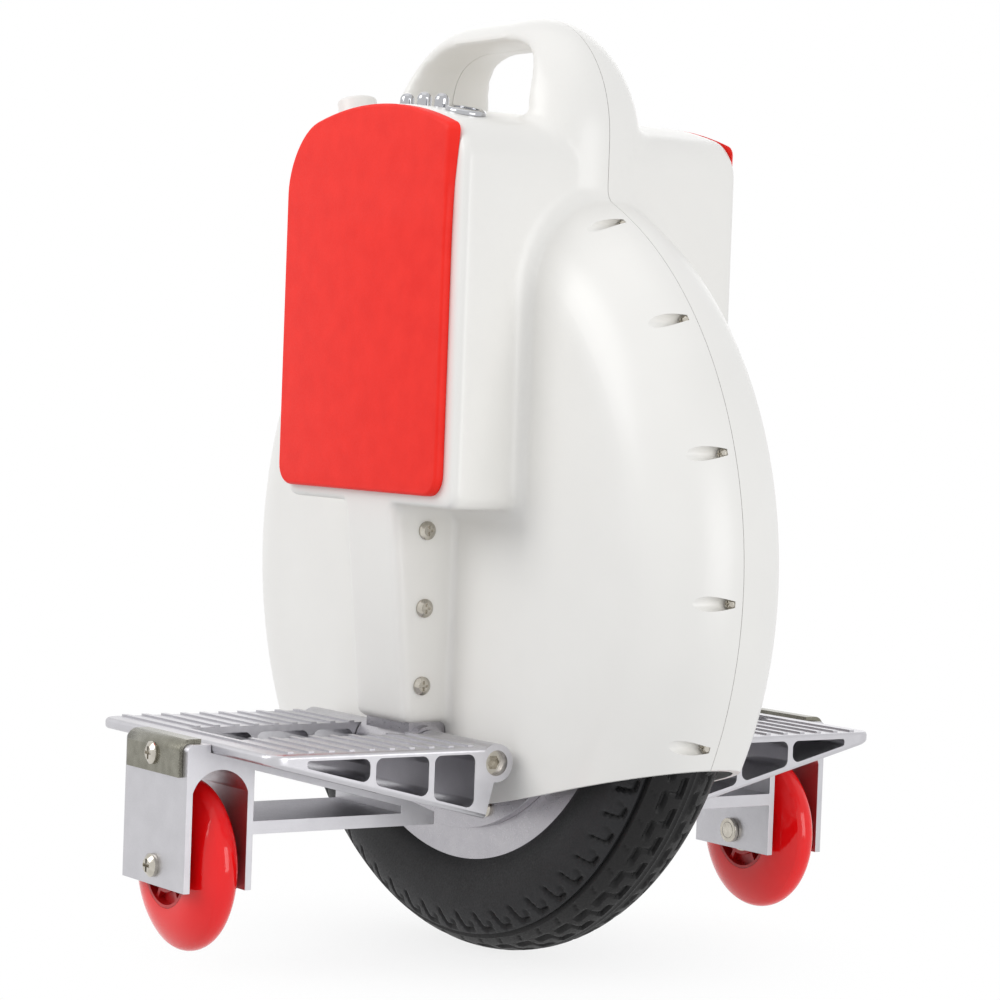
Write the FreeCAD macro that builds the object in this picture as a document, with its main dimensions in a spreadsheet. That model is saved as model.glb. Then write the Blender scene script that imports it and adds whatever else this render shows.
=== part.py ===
import FreeCAD, Part
import math
import os
import re
import Sketcher

# Electric unicycle with fold-up pedals and clip-on stabiliser rollers.
# Millimetres, +Z up, +X forwards, wheel axle along Y, origin where the tyre meets the floor.

V = FreeCAD.Vector
doc = FreeCAD.newDocument("electric_unicycle")
sheet = doc.addObject("Spreadsheet::Sheet", "sizes")

SIZES = [
    # Fits
    ("running_gap", 0.05, "radial clearance of a shaft or pin"),
    ("seat_gap", 0.1, "clearance between seated pieces"),
    ("loose_gap", 0.3, "clearance of a piece laid in its place"),
    ("pan_flat", 0.6, "flat of a pan head over its radius"),
    ("cross_reach", 0.55, "cross recess over the radius of the head"),
    ("cross_half", 0.13, "half an arm of the cross over the radius of the head"),
    ("cross_depth", 0.5, "cross recess over the height of the head"),
    # Tyre and rim
    ("tyre_diameter", 355.0, "across the tread, a 14 inch tyre"),
    ("tyre_section", 27.0, "section radius of a 2.125 inch tyre"),
    ("tyre_wall", 5.0, "casing with tread"),
    ("tread_groove_depth", 1.6, "ring groove in the tread"),
    ("tread_groove_half", 1.3, "half the width of a ring groove"),
    ("tread_groove_place", 8.5, "ring groove from the mid-plane"),
    ("tube_gap", 0.4, "tube inside the casing"),
    ("tube_wall", 1.5, "inner tube"),
    ("rim_edge_radius", 134.8, "edge of the rim flange"),
    ("rim_half", 20.4, "half the width over the flanges"),
    ("rim_flange", 3.9, "flange thickness"),
    ("rim_base_radius", 122.0, "floor of the rim well"),
    ("bead_width", 4.6, "tyre bead"),
    # Hub motor
    ("rotor_bore", 98.5, "bore of the rotor ring"),
    ("magnet_thickness", 3.5, "magnet ring"),
    ("air_gap", 1.0, "stator to magnets"),
    ("stator_half", 15.0, "half the width of the lamination stack"),
    ("stator_hub_radius", 30.0, "boss pressed on the axle"),
    ("stator_web_half", 6.0, "half the width of the carrier web"),
    ("stator_ring_radius", 62.0, "inside of the lamination ring"),
    ("slot_radius", 4.0, "winding slot"),
    ("slot_circle", 88.0, "pitch radius of the winding slots"),
    ("slot_count", 27, "winding slots"),
    ("winding_radius", 2.4, "section of the end turns"),
    ("winding_circle", 78.0, "middle of the end turns"),
    ("cover_radius", 118.0, "motor cover"),
    ("cover_thickness", 5.0, "motor cover plate"),
    ("cover_ring_height", 1.5, "raised ring on the cover"),
    ("cover_ring_width", 5.0, "raised ring on the cover"),
    ("cover_screw_circle", 110.0, "pitch radius of the cover screws"),
    ("cover_screw_count", 10, "screws in each cover"),
    ("bearing_radius", 20.0, "outside of the hub bearing"),
    ("bearing_width", 12.0, "hub bearing"),
    ("bearing_boss", 8.0, "wall of the bearing seat"),
    ("bearing_lip", 2.0, "lip that keeps the bearing"),
    ("bearing_lip_radius", 12.5, "bore of that lip"),
    ("axle_radius", 8.5, "axle in the bearings"),
    ("axle_end_radius", 7.0, "axle in the hangers"),
    ("axle_stub", 1.0, "axle proud of its nut"),
    ("spacer_radius", 11.0, "sleeve between bearing and hanger"),
    ("washer_thickness", 2.0, "axle washer"),
    ("washer_radius", 13.0, "axle washer"),
    ("axle_nut_height", 8.0, "axle nut"),
    ("axle_nut_flats", 22.0, "across the flats of the axle nut"),
    ("cable_radius", 2.4, "motor cable"),
    ("cable_bend", 5.0, "bend where the cable turns up"),
    ("cable_depth", 14.0, "cable inside the axle end"),
    # Half shells
    ("shell_wall", 3.0, "moulded wall"),
    ("dome_radius", 189.5, "wheel dome at the seam"),
    ("dome_height", 187.0, "centre of the dome"),
    ("dome_half", 40.5, "half the thickness of the dome"),
    ("dome_nose", 40.0, "round rim of the dome"),
    ("skirt_middle", 76.0, "lower edge beside the column"),
    ("skirt_middle_half", 52.0, "straight part of the lower edge"),
    ("skirt_knee", 98.0, "lower edge where it turns up"),
    ("skirt_knee_inset", 39.5, "that turn inside the dome rim"),
    ("skirt_knee_reach", "=dome_radius - skirt_knee_inset", "forwards place of that turn"),
    ("skirt_end", 105.0, "lower edge at the seam"),
    ("box_width_half", 75.0, "half the length of the side box"),
    ("box_floor", 215.0, "underside of the side box"),
    ("handle_crown", 447.0, "top of the carry handle"),
    ("handle_rise", 45.0, "carry handle above the side box"),
    ("box_crown", "=handle_crown - handle_rise", "top of the side box"),
    ("box_top_radius", 208.0, "arch of the top"),
    ("box_reach", 77.5, "outer face of the box"),
    ("box_corner_top", 14.0, "round of the top corners"),
    ("box_corner_low", 6.0, "round of the low corners"),
    ("box_edge", 4.0, "round of the outer edge"),
    ("column_half", 22.0, "half the width of the column"),
    ("column_foot", 112.0, "lower end of the column"),
    ("column_foot_reach", 66.0, "outer face at the lower end"),
    ("column_top_reach", 77.5, "outer face under the box"),
    ("column_edge", 4.0, "round of the column"),
    ("handle_radius", 75.0, "outside of the arch"),
    ("handle_half", 26.0, "half the width of the grip"),
    ("handle_round", 7.0, "round of the grip"),
    ("hole_half", 46.0, "half the length of the finger gap"),
    ("hole_sink", 8.0, "floor of the finger gap below the box top"),
    ("hole_floor", "=box_crown - hole_sink", "floor of the finger gap"),
    ("grip_depth", 17.0, "grip above the finger gap"),
    ("hole_crown", "=handle_crown - grip_depth", "top of the finger gap"),
    ("hole_top_radius", 60.0, "arch of the finger gap"),
    ("hole_corner", 5.0, "round corner of the finger gap"),
    ("seam_screw_depth", 3.2, "seam screws inside the dome rim"),
    ("seam_screw_circle", "=dome_radius - seam_screw_depth", "seam screws about the dome centre"),
    ("seam_screw_first", 59.0, "angle of the highest seam screw"),
    ("seam_screw_pitch", 20.3, "angle from one to the next"),
    ("seam_boss_wall", 1.5, "wall round a screw scoop"),
    ("seam_boss_length", 24.0, "boss from the seam"),
    ("scoop_radius", 3.3, "scoop for the screw head"),
    ("seam_lug", 4.0, "thickness under the screw head"),
    ("seam_screw_radius", 1.5, "seam screw shank"),
    ("seam_screw_head", 2.8, "seam screw head"),
    ("seam_screw_head_height", 2.2, "seam screw head"),
    ("seam_screw_bite", 8.0, "screw in the far half"),
    # Pads
    ("pad_thickness", 4.5, "side pad"),
    ("pad_margin", 0.5, "pad inside the box outline"),
    ("pad_floor", 220.5, "lower edge of the pad"),
    ("pad_front", 67.0, "front edge of the pad"),
    ("pad_flare", 346.0, "front edge runs forwards above this"),
    ("pad_horn", 73.0, "upper front corner of the pad"),
    ("pad_round_back", 26.0, "round of the upper rear corner"),
    ("pad_round_low", 10.0, "round of the low corners"),
    ("pad_edge", 1.8, "round of the pad"),
    # Hangers and column screws
    ("hanger_inner", 41.0, "inner face of the hanger"),
    ("hanger_plate", 10.0, "plate that holds the axle"),
    ("hanger_reach", 61.0, "outer edge of the cheeks"),
    ("hanger_top", 208.0, "upper end"),
    ("hanger_cheek", 5.2, "cheek beside the axle nut"),
    ("hanger_floor", 8.0, "solid foot above the knuckle"),
    ("knuckle_radius", 10.5, "knuckle round the hinge bush"),
    ("knuckle_half", 24.4, "half the length of the knuckle"),
    ("bush_radius", 7.5, "outside of the hinge bush"),
    ("column_screw_reach", 57.0, "column screws from the mid-plane"),
    ("column_screw_low", 130.0, "lowest column screw"),
    ("column_screw_pitch", 36.5, "from one to the next"),
    ("column_screw_radius", 2.0, "column screw shank"),
    ("column_screw_head", 4.4, "column screw head"),
    ("column_screw_head_height", 2.2, "column screw head"),
    # Pedals
    ("hinge_reach", 53.0, "pedal hinge from the mid-plane"),
    ("hinge_height", 100.5, "pedal hinge"),
    ("hinge_pin_radius", 5.8, "hinge pin"),
    ("hinge_lug_radius", 8.8, "pedal lug"),
    ("pin_recess", 3.0, "pin end inside the lug"),
    ("pin_socket_flats", 6.0, "hex socket in the pin"),
    ("pin_socket_depth", 4.0, "hex socket in the pin"),
    ("pedal_half", 81.5, "half the length of the pedal"),
    ("pedal_top", 108.0, "deck under the ribs"),
    ("bracket_reach", 184.0, "outer face of the stabiliser fork"),
    ("bracket_lap", 12.0, "fork face beyond the pedal"),
    ("pedal_end", "=bracket_reach - bracket_lap", "outer edge"),
    ("pedal_root", 58.5, "inner lower corner, outwards"),
    ("pedal_root_height", 75.3, "inner lower corner, height"),
    ("pedal_end_height", 103.3, "underside at the outer edge"),
    ("pedal_wall", 3.0, "walls and webs"),
    ("floor_slant", 1.05, "upright thickness of the sloping floor over its wall"),
    ("web_inner_share", 0.26, "first web along the underside"),
    ("web_outer_share", 0.533, "second web along the underside"),
    ("cell_end_share", 0.8326, "tip of the third cell along the underside"),
    ("pedal_span", "=pedal_end - pedal_root", "underside from corner to outer edge"),
    ("pedal_web_inner", "=pedal_root + web_inner_share * pedal_span", "web between first and second cell"),
    ("pedal_web_outer", "=pedal_root + web_outer_share * pedal_span", "web between second and third cell"),
    ("pedal_cell_end", "=pedal_root + cell_end_share * pedal_span", "tip of the third cell"),
    ("pedal_cell_round", 3.5, "round in the cells"),
    ("pedal_tip_round", 1.2, "round in the tip of the third cell"),
    ("pedal_nose", 2.0, "round of the pedal's rim"),
    ("pedal_corner", 9.0, "round of the outer corners"),
    ("window_half", 25.0, "half the gap between the two blocks"),
    ("window_bar", 14.0, "end bar that joins the two blocks"),
    ("window_end", "=pedal_end - window_bar", "gap reaches out to the end bar"),
    ("rib_height", 0.9, "tread rib"),
    ("rib_width", 2.8, "tread rib"),
    ("rib_pitch", 10.48, "from rib to rib"),
    ("rib_first", 64.2, "first rib"),
    ("rib_margin", 9.0, "plain edge beyond the last rib"),
    ("rib_last", "=pedal_end - rib_margin", "last rib"),
    # Stabilisers
    ("bracket_half", 29.5, "half the width of the bracket"),
    ("bracket_depth", 34.6, "fork from face to face"),
    ("bracket_inner", "=bracket_reach - bracket_depth", "inner face of the fork"),
    ("bracket_wall", 3.2, "fork leg"),
    ("bracket_foot", 40.2, "lower end of the fork"),
    ("bracket_hook", 107.0, "top of the outer corner"),
    ("strut_low", 65.5, "underside of the strut"),
    ("strut_thickness", 6.0, "strut"),
    ("brace_thickness", 3.2, "plate under the pedal"),
    ("tip_reach", 52.0, "inner tip"),
    ("arch_roof", 3.1, "fork's arch below the pedal"),
    ("arch_bulge", 1.0526, "round of the fork's arch over half its gap"),
    ("fork_gap", "=bracket_depth - 2 * bracket_wall", "between the fork legs"),
    ("arch_radius", "=arch_bulge * fork_gap / 2", "round of the fork's arch"),
    ("clip_half", 25.0, "half the width of the clip"),
    ("clip_plate", 2.0, "clip plate"),
    ("clip_foot", 92.0, "lower edge of the clip"),
    ("clip_short", 3.0, "lip short of the pedal"),
    ("clip_lip", "=pedal_end + clip_short", "inner edge of the lip"),
    ("clip_bend", 3.0, "round of the bracket's outer corner under the clip"),
    ("clip_screw_height", 100.5, "clip screw"),
    ("clip_screw_radius", 2.5, "clip screw shank"),
    ("clip_screw_head", 5.2, "clip screw head"),
    ("clip_screw_head_height", 2.4, "clip screw head"),
    ("clip_screw_bite", 8.0, "clip screw in the bracket"),
    ("roller_height", 49.2, "roller axle"),
    ("roller_radius", 40.0, "stabiliser roller"),
    ("roller_half", 11.0, "half the width of the roller"),
    ("roller_tip_depth", 2.0, "small round of the tread, inwards"),
    ("roller_tip_half", 4.8, "half the width of the small round"),
    ("roller_shoulder", "=roller_radius - roller_tip_depth", "where the sides meet the small round"),
    ("roller_flank", 25.2, "round of the roller's sides"),
    ("roller_hub_radius", 20.0, "roller hub"),
    ("roller_bearing_radius", 11.0, "roller bearing"),
    ("roller_bearing_width", 7.0, "roller bearing"),
    ("roller_bolt_radius", 4.0, "roller bolt"),
    ("roller_bolt_head", 5.4, "roller bolt head"),
    ("roller_bolt_head_height", 3.6, "roller bolt head"),
    ("roller_nut_height", 2.6, "low round nut of the roller"),
    ("roller_nut_radius", 6.2, "low round nut of the roller"),
    # Top fittings
    ("fitting_line", 60.0, "row of fittings from the mid-plane"),
    ("button_angle", 13.0, "power button along the arched top"),
    ("lamp_angle", -1.0, "first lamp along the arched top"),
    ("lamp_pitch", 4.1, "from lamp to lamp"),
    ("cap_angle", -13.0, "charge cap along the arched top"),
    ("bezel_radius", 9.5, "button ring"),
    ("bezel_height", 2.2, "button ring"),
    ("bezel_barrel", 7.5, "barrel of the button ring"),
    ("bezel_depth", 12.0, "barrel below the top"),
    ("button_radius", 6.0, "power button"),
    ("button_travel", 1.5, "press of the button"),
    ("button_stand", 0.8, "button face over the height of its ring"),
    ("lamp_radius", 4.2, "indicator lamp"),
    ("lamp_barrel", 3.0, "barrel of the lamp"),
    ("lamp_height", 5.0, "dome of the lamp"),
    ("lamp_depth", 8.0, "barrel below the top"),
    ("socket_radius", 9.0, "charge socket flange"),
    ("socket_barrel", 7.0, "charge socket"),
    ("socket_flange", 1.5, "charge socket flange"),
    ("socket_collar", 8.0, "collar above the flange"),
    ("socket_depth", 12.0, "socket below the top"),
    ("socket_bore", 4.5, "charge plug bore"),
    ("cap_wall", 2.2, "charge cap"),
    ("cap_top", 3.0, "charge cap crown"),
    ("cap_round", 1.5, "round of the cap"),
    # Inside the boxes
    ("cover_sheet", 2.0, "inner cover between wheel and box"),
    ("cover_sheet_place", 36.0, "inner cover from the mid-plane"),
    ("cover_sheet_head", 27.0, "room above the inner cover"),
    ("cover_sheet_height", "=box_crown - box_floor - cover_sheet_head", "inner cover"),
    ("battery_half", 62.0, "half the length of the battery"),
    ("battery_head", 37.0, "room above the battery"),
    ("battery_height", "=box_crown - box_floor - battery_head", "battery"),
    ("battery_depth", 32.0, "battery"),
    ("sink_half", 45.0, "half the length of the heat sink"),
    ("sink_low", 250.0, "underside of the heat sink"),
    ("sink_head", 62.0, "room above the heat sink"),
    ("sink_height", "=box_crown - sink_low - sink_head", "heat sink"),
    ("sink_depth", 10.0, "heat sink"),
    ("fin_depth", 6.0, "heat sink fins"),
    ("fin_width", 4.0, "gap between the fins"),
    ("fin_pitch", 9.0, "from gap to gap"),
    ("board_half", 52.0, "half the length of the board"),
    ("board_thickness", 1.6, "control board"),
    ("board_low", 236.0, "underside of the board"),
    ("board_head", 51.0, "room above the board"),
    ("board_height", "=box_crown - board_low - board_head", "control board"),
    ("plug_half", 9.0, "half the width of the cable plug"),
    ("plug_height", 12.0, "cable plug"),
]

for row, (alias, number, note) in enumerate(SIZES, start=1):
    sheet.set(f"A{row}", alias)
    sheet.set(f"B{row}", str(number))
    sheet.setAlias(f"B{row}", alias)
    sheet.set(f"C{row}", note)
doc.recompute()

FUNCTIONS = ("sin", "cos", "tan", "sqrt", "floor")


def cell(formula):
    """The formula, written in the sheet's names, as expression text."""
    return re.sub(r"[a-z]\w*", lambda word: word[0] if word[0] in FUNCTIONS else "sizes." + word[0], formula)


def value(formula):
    """The formula's number at the sheet's present sizes."""
    return float(sheet.evalExpression(cell(formula)))


# Formulas that several pieces share
AXLE_HEIGHT = "tyre_diameter / 2"
TYRE_MIDDLE = "(tyre_diameter / 2 - tyre_section)"
COVER_FACE = "(rim_half + seat_gap)"
BEARING_END = "(rim_half + seat_gap + bearing_width)"
HANGER_FACE = "(hanger_inner + hanger_plate)"
NUT_FACE = "(hanger_inner + hanger_plate + washer_thickness)"
AXLE_END = "(hanger_inner + hanger_plate + washer_thickness + axle_nut_height + axle_stub)"
HANGER_HALF = "(column_half - shell_wall - seat_gap)"
BOX_INSIDE = "(box_reach - shell_wall - loose_gap)"
BOX_MIDDLE = "((box_floor + box_crown) / 2)"
PEDAL_SLOPE = "((pedal_end_height - pedal_root_height) / pedal_span)"
RIB_TOP = "(pedal_top + rib_height)"
ROLLER_MIDDLE = "((bracket_reach + bracket_inner) / 2)"


def underside(reach):
    """Height of the pedal's sloping underside at a distance from the mid-plane."""
    return f"(pedal_root_height + {PEDAL_SLOPE} * ({reach} - pedal_root))"


def body(label, side=None, height=None):
    """Empty body, its own frame moved sideways and up."""
    made = doc.addObject("PartDesign::Body", label)
    made.Label = label
    if side:
        made.setExpression("Placement.Base.y", cell(side))
    if height:
        made.setExpression("Placement.Base.z", cell(height))
    return made


def origin_feature(owner, role):
    """One of the body's own planes or axes."""
    return next(item for item in owner.Origin.OriginFeatures if item.Role == role)


def sketch(owner, plane, offset=None):
    """Empty sketch on one of the body's own planes, moved along its normal."""
    made = owner.newObject("Sketcher::SketchObject", "Outline")
    made.AttachmentSupport = [(origin_feature(owner, plane), "")]
    made.MapMode = "FlatFace"
    if offset:
        made.setExpression("AttachmentOffset.Base.z", cell(offset))
    return made


def bind(drawing, kind, geometry, point, formula):
    """One coordinate of a point, measured from the sketch's origin."""
    number = drawing.addConstraint(Sketcher.Constraint(kind, -1, 1, geometry, point, value(formula)))
    drawing.setExpression(f"Constraints[{number}]", cell(formula))


def bind_radius(drawing, geometry, formula):
    """Radius of a circle or arc."""
    number = drawing.addConstraint(Sketcher.Constraint("Radius", geometry, value(formula)))
    drawing.setExpression(f"Constraints[{number}]", cell(formula))


def outline(drawing, corners, arcs=None):
    """Closed outline: a side is straight, or an arc given by a point on it and its radius."""
    arcs = arcs or {}
    count = len(corners)
    first = drawing.GeometryCount
    places = [V(value(x), value(y), 0) for x, y in corners]
    ends = []
    for side in range(count):
        start = places[side]
        stop = places[(side + 1) % count]
        ends.append((1, 2))
        if side not in arcs:
            drawing.addGeometry(Part.LineSegment(start, stop), False)
            continue
        middle = V(value(arcs[side][0]), value(arcs[side][1]), 0)
        if (middle - start).cross(stop - middle).z < 0:
            ends[side] = (2, 1)
            start, stop = stop, start
        drawing.addGeometry(Part.Arc(start, middle, stop), False)
    for side in range(count):
        after = (side + 1) % count
        joint = Sketcher.Constraint("Coincident", first + side, ends[side][1], first + after, ends[after][0])
        drawing.addConstraint(joint)
    for side, (across, up) in enumerate(corners):
        bind(drawing, "DistanceX", first + side, ends[side][0], across)
        bind(drawing, "DistanceY", first + side, ends[side][0], up)
    for side, (_, _, radius) in arcs.items():
        bind_radius(drawing, first + side, radius)


def circle(drawing, across, up, radius):
    """Circle with its middle measured from the sketch's origin."""
    round_line = Part.Circle(V(value(across), value(up), 0), V(0, 0, 1), value(radius))
    number = drawing.addGeometry(round_line, False)
    bind(drawing, "DistanceX", number, 3, across)
    bind(drawing, "DistanceY", number, 3, up)
    bind_radius(drawing, number, radius)


def arched(drawing, half, low, crown, radius):
    """Upright outline with straight sides and an arched top."""
    shoulder = f"({crown} - {radius} + sqrt({radius} * {radius} - ({half}) * ({half})))"
    corners = [(f"-({half})", low), (half, low), (half, shoulder), (f"-({half})", shoulder)]
    outline(drawing, corners, {2: ("0", crown, radius)})


def hexagon(drawing, across, up, flats):
    """Hexagon by the distance across its flats."""
    corners = []
    for turn in range(6):
        angle = 60 * turn
        corners.append((f"{across} + {flats} / sqrt(3) * cos({angle})",
                        f"{up} + {flats} / sqrt(3) * sin({angle})"))
    outline(drawing, corners)


def pad(owner, drawing, length, both_ways=False, flip=False):
    """Solid grown from a sketch."""
    made = owner.newObject("PartDesign::Pad", "Pad")
    made.Profile = drawing
    made.setExpression("Length", cell(length))
    made.SideType = "Symmetric" if both_ways else "One side"
    made.Reversed = flip
    return made


def pocket(owner, drawing, length=None, flip=False):
    """Cut from a sketch: a depth one way, or right through both ways."""
    doc.recompute()
    before = owner.Shape.Volume
    made = owner.newObject("PartDesign::Pocket", "Pocket")
    made.Profile = drawing
    if length:
        made.setExpression("Length", cell(length))
        made.Reversed = flip
    else:
        made.Type = "ThroughAll"
        made.SideType = "Symmetric"
    doc.recompute()
    if not owner.Shape.Volume < before:
        raise RuntimeError(f"a cut in {owner.Label} takes nothing away")
    return made


def turned(owner, corners, arcs=None, plane="XY_Plane", axis="V_Axis"):
    """Solid of revolution from an outline of radius and length."""
    drawing = sketch(owner, plane)
    outline(drawing, corners, arcs)
    made = owner.newObject("PartDesign::Revolution", "Turned")
    made.Profile = drawing
    made.ReferenceAxis = (drawing, [axis])
    made.Angle = 360
    return made


def sleeve(label, inner, outer, low, high, side=None, height=None):
    """Plain ring about an axis along Y."""
    made = body(label, side, height)
    turned(made, [(inner, low), (outer, low), (outer, high), (inner, high)])
    return made


def fillet(owner, radius, chosen):
    """Round the body's edges that the test picks."""
    doc.recompute()
    base = owner.Tip
    names = [f"Edge{place}" for place, edge in enumerate(base.Shape.Edges, start=1) if chosen(edge)]
    made = owner.newObject("PartDesign::Fillet", "Round")
    made.Base = (base, names)
    made.setExpression("Radius", cell(radius))
    return made


def near(first, second):
    """Two lengths that agree to a hundredth of a millimetre."""
    return abs(first - second) < 0.01


def lies_at(edge, direction, level):
    """Whether all of an edge lies at one level along X, Y or Z."""
    box = edge.BoundBox
    low, high = {"x": (box.XMin, box.XMax), "y": (box.YMin, box.YMax), "z": (box.ZMin, box.ZMax)}[direction]
    return near(low, level) and near(high, level)


def runs_along(edge, direction):
    """Whether an edge is straight and parallel to X, Y or Z."""
    way = {"x": V(1, 0, 0), "y": V(0, 1, 0), "z": V(0, 0, 1)}[direction]
    if edge.Curve.TypeId != "Part::GeomLine":
        return False
    return near(abs(edge.Curve.Direction.dot(way)), 1)


def block(label, low_x, length, low_y, width, low_z, height):
    """Plain box by its low corner and its three sides."""
    made = doc.addObject("Part::Box", label)
    made.Label = label
    lengths = (("Length", length), ("Width", width), ("Height", height))
    places = (("x", low_x), ("y", low_y), ("z", low_z))
    for name, formula in lengths:
        made.setExpression(name, cell(formula))
    for name, formula in places:
        made.setExpression(f"Placement.Base.{name}", cell(formula))
    return made


def united(label, pieces):
    """Several solids joined to one."""
    made = doc.addObject("Part::MultiFuse", label)
    made.Label = label
    made.Shapes = pieces
    made.Refine = True
    return made


def cut(label, base, tool):
    """One solid less another."""
    made = doc.addObject("Part::Cut", label)
    made.Label = label
    made.Base = base
    made.Tool = tool
    made.Refine = True
    return made


def mirrored(label, source):
    """The same piece on the other side of the mid-plane."""
    made = doc.addObject("Part::Mirroring", label)
    made.Label = label
    made.Source = source
    made.Normal = V(0, 1, 0)
    return made


def group(label, shapes):
    """Identical loose pieces kept as one group."""
    made = doc.addObject("Part::Feature", label)
    made.Label = label
    made.Shape = Part.makeCompound(shapes)
    return made


def on_top(piece, angle):
    """Stand a piece on the arched box top, square to it, at an angle along the arch."""
    piece.setExpression("Placement.Base.x", cell(f"box_top_radius * sin({angle})"))
    piece.setExpression("Placement.Base.y", cell("fitting_line"))
    piece.setExpression("Placement.Base.z", cell(f"box_crown - box_top_radius * (1 - cos({angle}))"))
    piece.Placement.Rotation = FreeCAD.Rotation(V(0, 1, 0), 1)
    piece.setExpression("Placement.Rotation.Angle", cell(f"{angle}"))


def standing(label, angle, corners, arcs=None):
    """Turned fitting on the box top, given by radius and height above it."""
    made = body(label)
    turned(made, corners, arcs, plane="XZ_Plane")
    on_top(made, angle)
    return made


def screw(label, shank, head, head_height, length):
    """Pan head screw: shank down its own -Y, head up +Y, seat at the origin, with a cross recess."""
    made = body(label)
    turned(made, [("0", f"-({length})"), (shank, f"-({length})"), (shank, "0"), (head, "0"),
                  (head, f"{head_height} / 2"), (f"{head} * pan_flat", head_height), ("0", head_height)])
    recess = sketch(made, "XZ_Plane", f"-({head_height})")
    wide = f"{head} * cross_reach"
    slim = f"{head} * cross_half"
    outline(recess, [(f"-({wide})", f"-({slim})"), (f"-({slim})", f"-({slim})"), (f"-({slim})", f"-({wide})"),
                     (slim, f"-({wide})"), (slim, f"-({slim})"), (wide, f"-({slim})"),
                     (wide, slim), (slim, slim), (slim, wide),
                     (f"-({slim})", wide), (f"-({slim})", slim), (f"-({wide})", slim)])
    pocket(made, recess, f"{head_height} * cross_depth", flip=True)
    return made


def placed(piece, place, towards):
    """Copy of a screw with its head towards a direction."""
    shape = piece.Shape.copy()
    shape.Placement = FreeCAD.Placement(place, FreeCAD.Rotation(V(0, 1, 0), towards))
    return shape


SIDES = (1, -1)

# Tyre: round casing with two ring grooves in its tread and beads inside the rim flanges
crown = AXLE_HEIGHT
rim_seat = "(rim_base_radius + seat_gap)"
flange_inside = "(rim_half - rim_flange - seat_gap)"
flange_top = "(rim_edge_radius + loose_gap)"
bulge = f"sqrt(tyre_section * tyre_section - ({TYRE_MIDDLE} - {flange_top}) * ({TYRE_MIDDLE} - {flange_top}))"
cavity = "(tyre_section - tyre_wall)"
bead_inside = f"({flange_inside} - bead_width)"
bead_top = f"({TYRE_MIDDLE} - sqrt({cavity} * {cavity} - {bead_inside} * {bead_inside}))"
tyre = body("tyre", height=AXLE_HEIGHT)
turned(tyre, [(flange_top, bulge), (flange_top, f"-{bulge}"), (flange_top, f"-{flange_inside}"),
              (rim_seat, f"-{flange_inside}"), (rim_seat, f"-{bead_inside}"), (bead_top, f"-{bead_inside}"),
              (bead_top, bead_inside), (rim_seat, bead_inside), (rim_seat, flange_inside),
              (flange_top, flange_inside)],
       {0: (crown, "0", "tyre_section"), 5: (f"{TYRE_MIDDLE} + {cavity}", "0", cavity)})
groove_floor = f"{TYRE_MIDDLE} + sqrt(tyre_section^2 - tread_groove_place^2) - tread_groove_depth"
grooves = sketch(tyre, "XY_Plane")
for side in ("", "-"):
    inner_edge = f"{side}(tread_groove_place - tread_groove_half)"
    outer_edge = f"{side}(tread_groove_place + tread_groove_half)"
    outline(grooves, [(groove_floor, inner_edge), (f"{crown} + tread_groove_depth", inner_edge),
                      (f"{crown} + tread_groove_depth", outer_edge), (groove_floor, outer_edge)])
tread = tyre.newObject("PartDesign::Groove", "Tread")
tread.Profile = grooves
tread.ReferenceAxis = (grooves, ["V_Axis"])
tread.Angle = 360

# Inner tube: a round air tube that lies in the casing
inner_tube = body("inner_tube", height=AXLE_HEIGHT)
tube_path = sketch(inner_tube, "XY_Plane")
circle(tube_path, TYRE_MIDDLE, "0", f"{cavity} - tube_gap")
circle(tube_path, TYRE_MIDDLE, "0", f"{cavity} - tube_gap - tube_wall")
tube_turn = inner_tube.newObject("PartDesign::Revolution", "Turned")
tube_turn.Profile = tube_path
tube_turn.ReferenceAxis = (tube_path, ["V_Axis"])
tube_turn.Angle = 360

# Rim: cast ring that is the motor's rotor and carries the tyre between two flanges
rim = body("rim", height=AXLE_HEIGHT)
flange_face = "(rim_half - rim_flange)"
turned(rim, [("rotor_bore", "-rim_half"), ("rim_edge_radius", "-rim_half"), ("rim_edge_radius", f"-{flange_face}"),
             ("rim_base_radius", f"-{flange_face}"), ("rim_base_radius", flange_face),
             ("rim_edge_radius", flange_face), ("rim_edge_radius", "rim_half"), ("rotor_bore", "rim_half")])
rim_holes = sketch(rim, "XZ_Plane")
for turn in range(int(value("cover_screw_count"))):
    angle = f"({turn} * 360 / cover_screw_count)"
    circle(rim_holes, f"cover_screw_circle * cos{angle}", f"cover_screw_circle * sin{angle}",
           "column_screw_radius + running_gap")
pocket(rim, rim_holes)

# Motor: magnets in the rotor, wound stator on the fixed axle
magnet_ring = sleeve("magnet_ring", "rotor_bore - running_gap - magnet_thickness", "rotor_bore - running_gap",
                     "-stator_half", "stator_half", height=AXLE_HEIGHT)

stator_radius = "(rotor_bore - running_gap - magnet_thickness - air_gap)"
stator = body("stator", height=AXLE_HEIGHT)
axle_fit = "(axle_radius + running_gap)"
turned(stator, [(axle_fit, "-stator_half"), ("stator_hub_radius", "-stator_half"),
                ("stator_hub_radius", "-stator_web_half"), ("stator_ring_radius", "-stator_web_half"),
                ("stator_ring_radius", "-stator_half"), (stator_radius, "-stator_half"),
                (stator_radius, "stator_half"), ("stator_ring_radius", "stator_half"),
                ("stator_ring_radius", "stator_web_half"), ("stator_hub_radius", "stator_web_half"),
                ("stator_hub_radius", "stator_half"), (axle_fit, "stator_half")])
slots = sketch(stator, "XZ_Plane")
circle(slots, "slot_circle", "0", "slot_radius")
slot = pocket(stator, slots)
slot_ring = stator.newObject("PartDesign::PolarPattern", "Slots")
slot_ring.Originals = [slot]
slot_ring.Axis = (origin_feature(stator, "Y_Axis"), [""])
slot_ring.setExpression("Occurrences", cell("slot_count"))
stator.Tip = slot_ring

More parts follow.
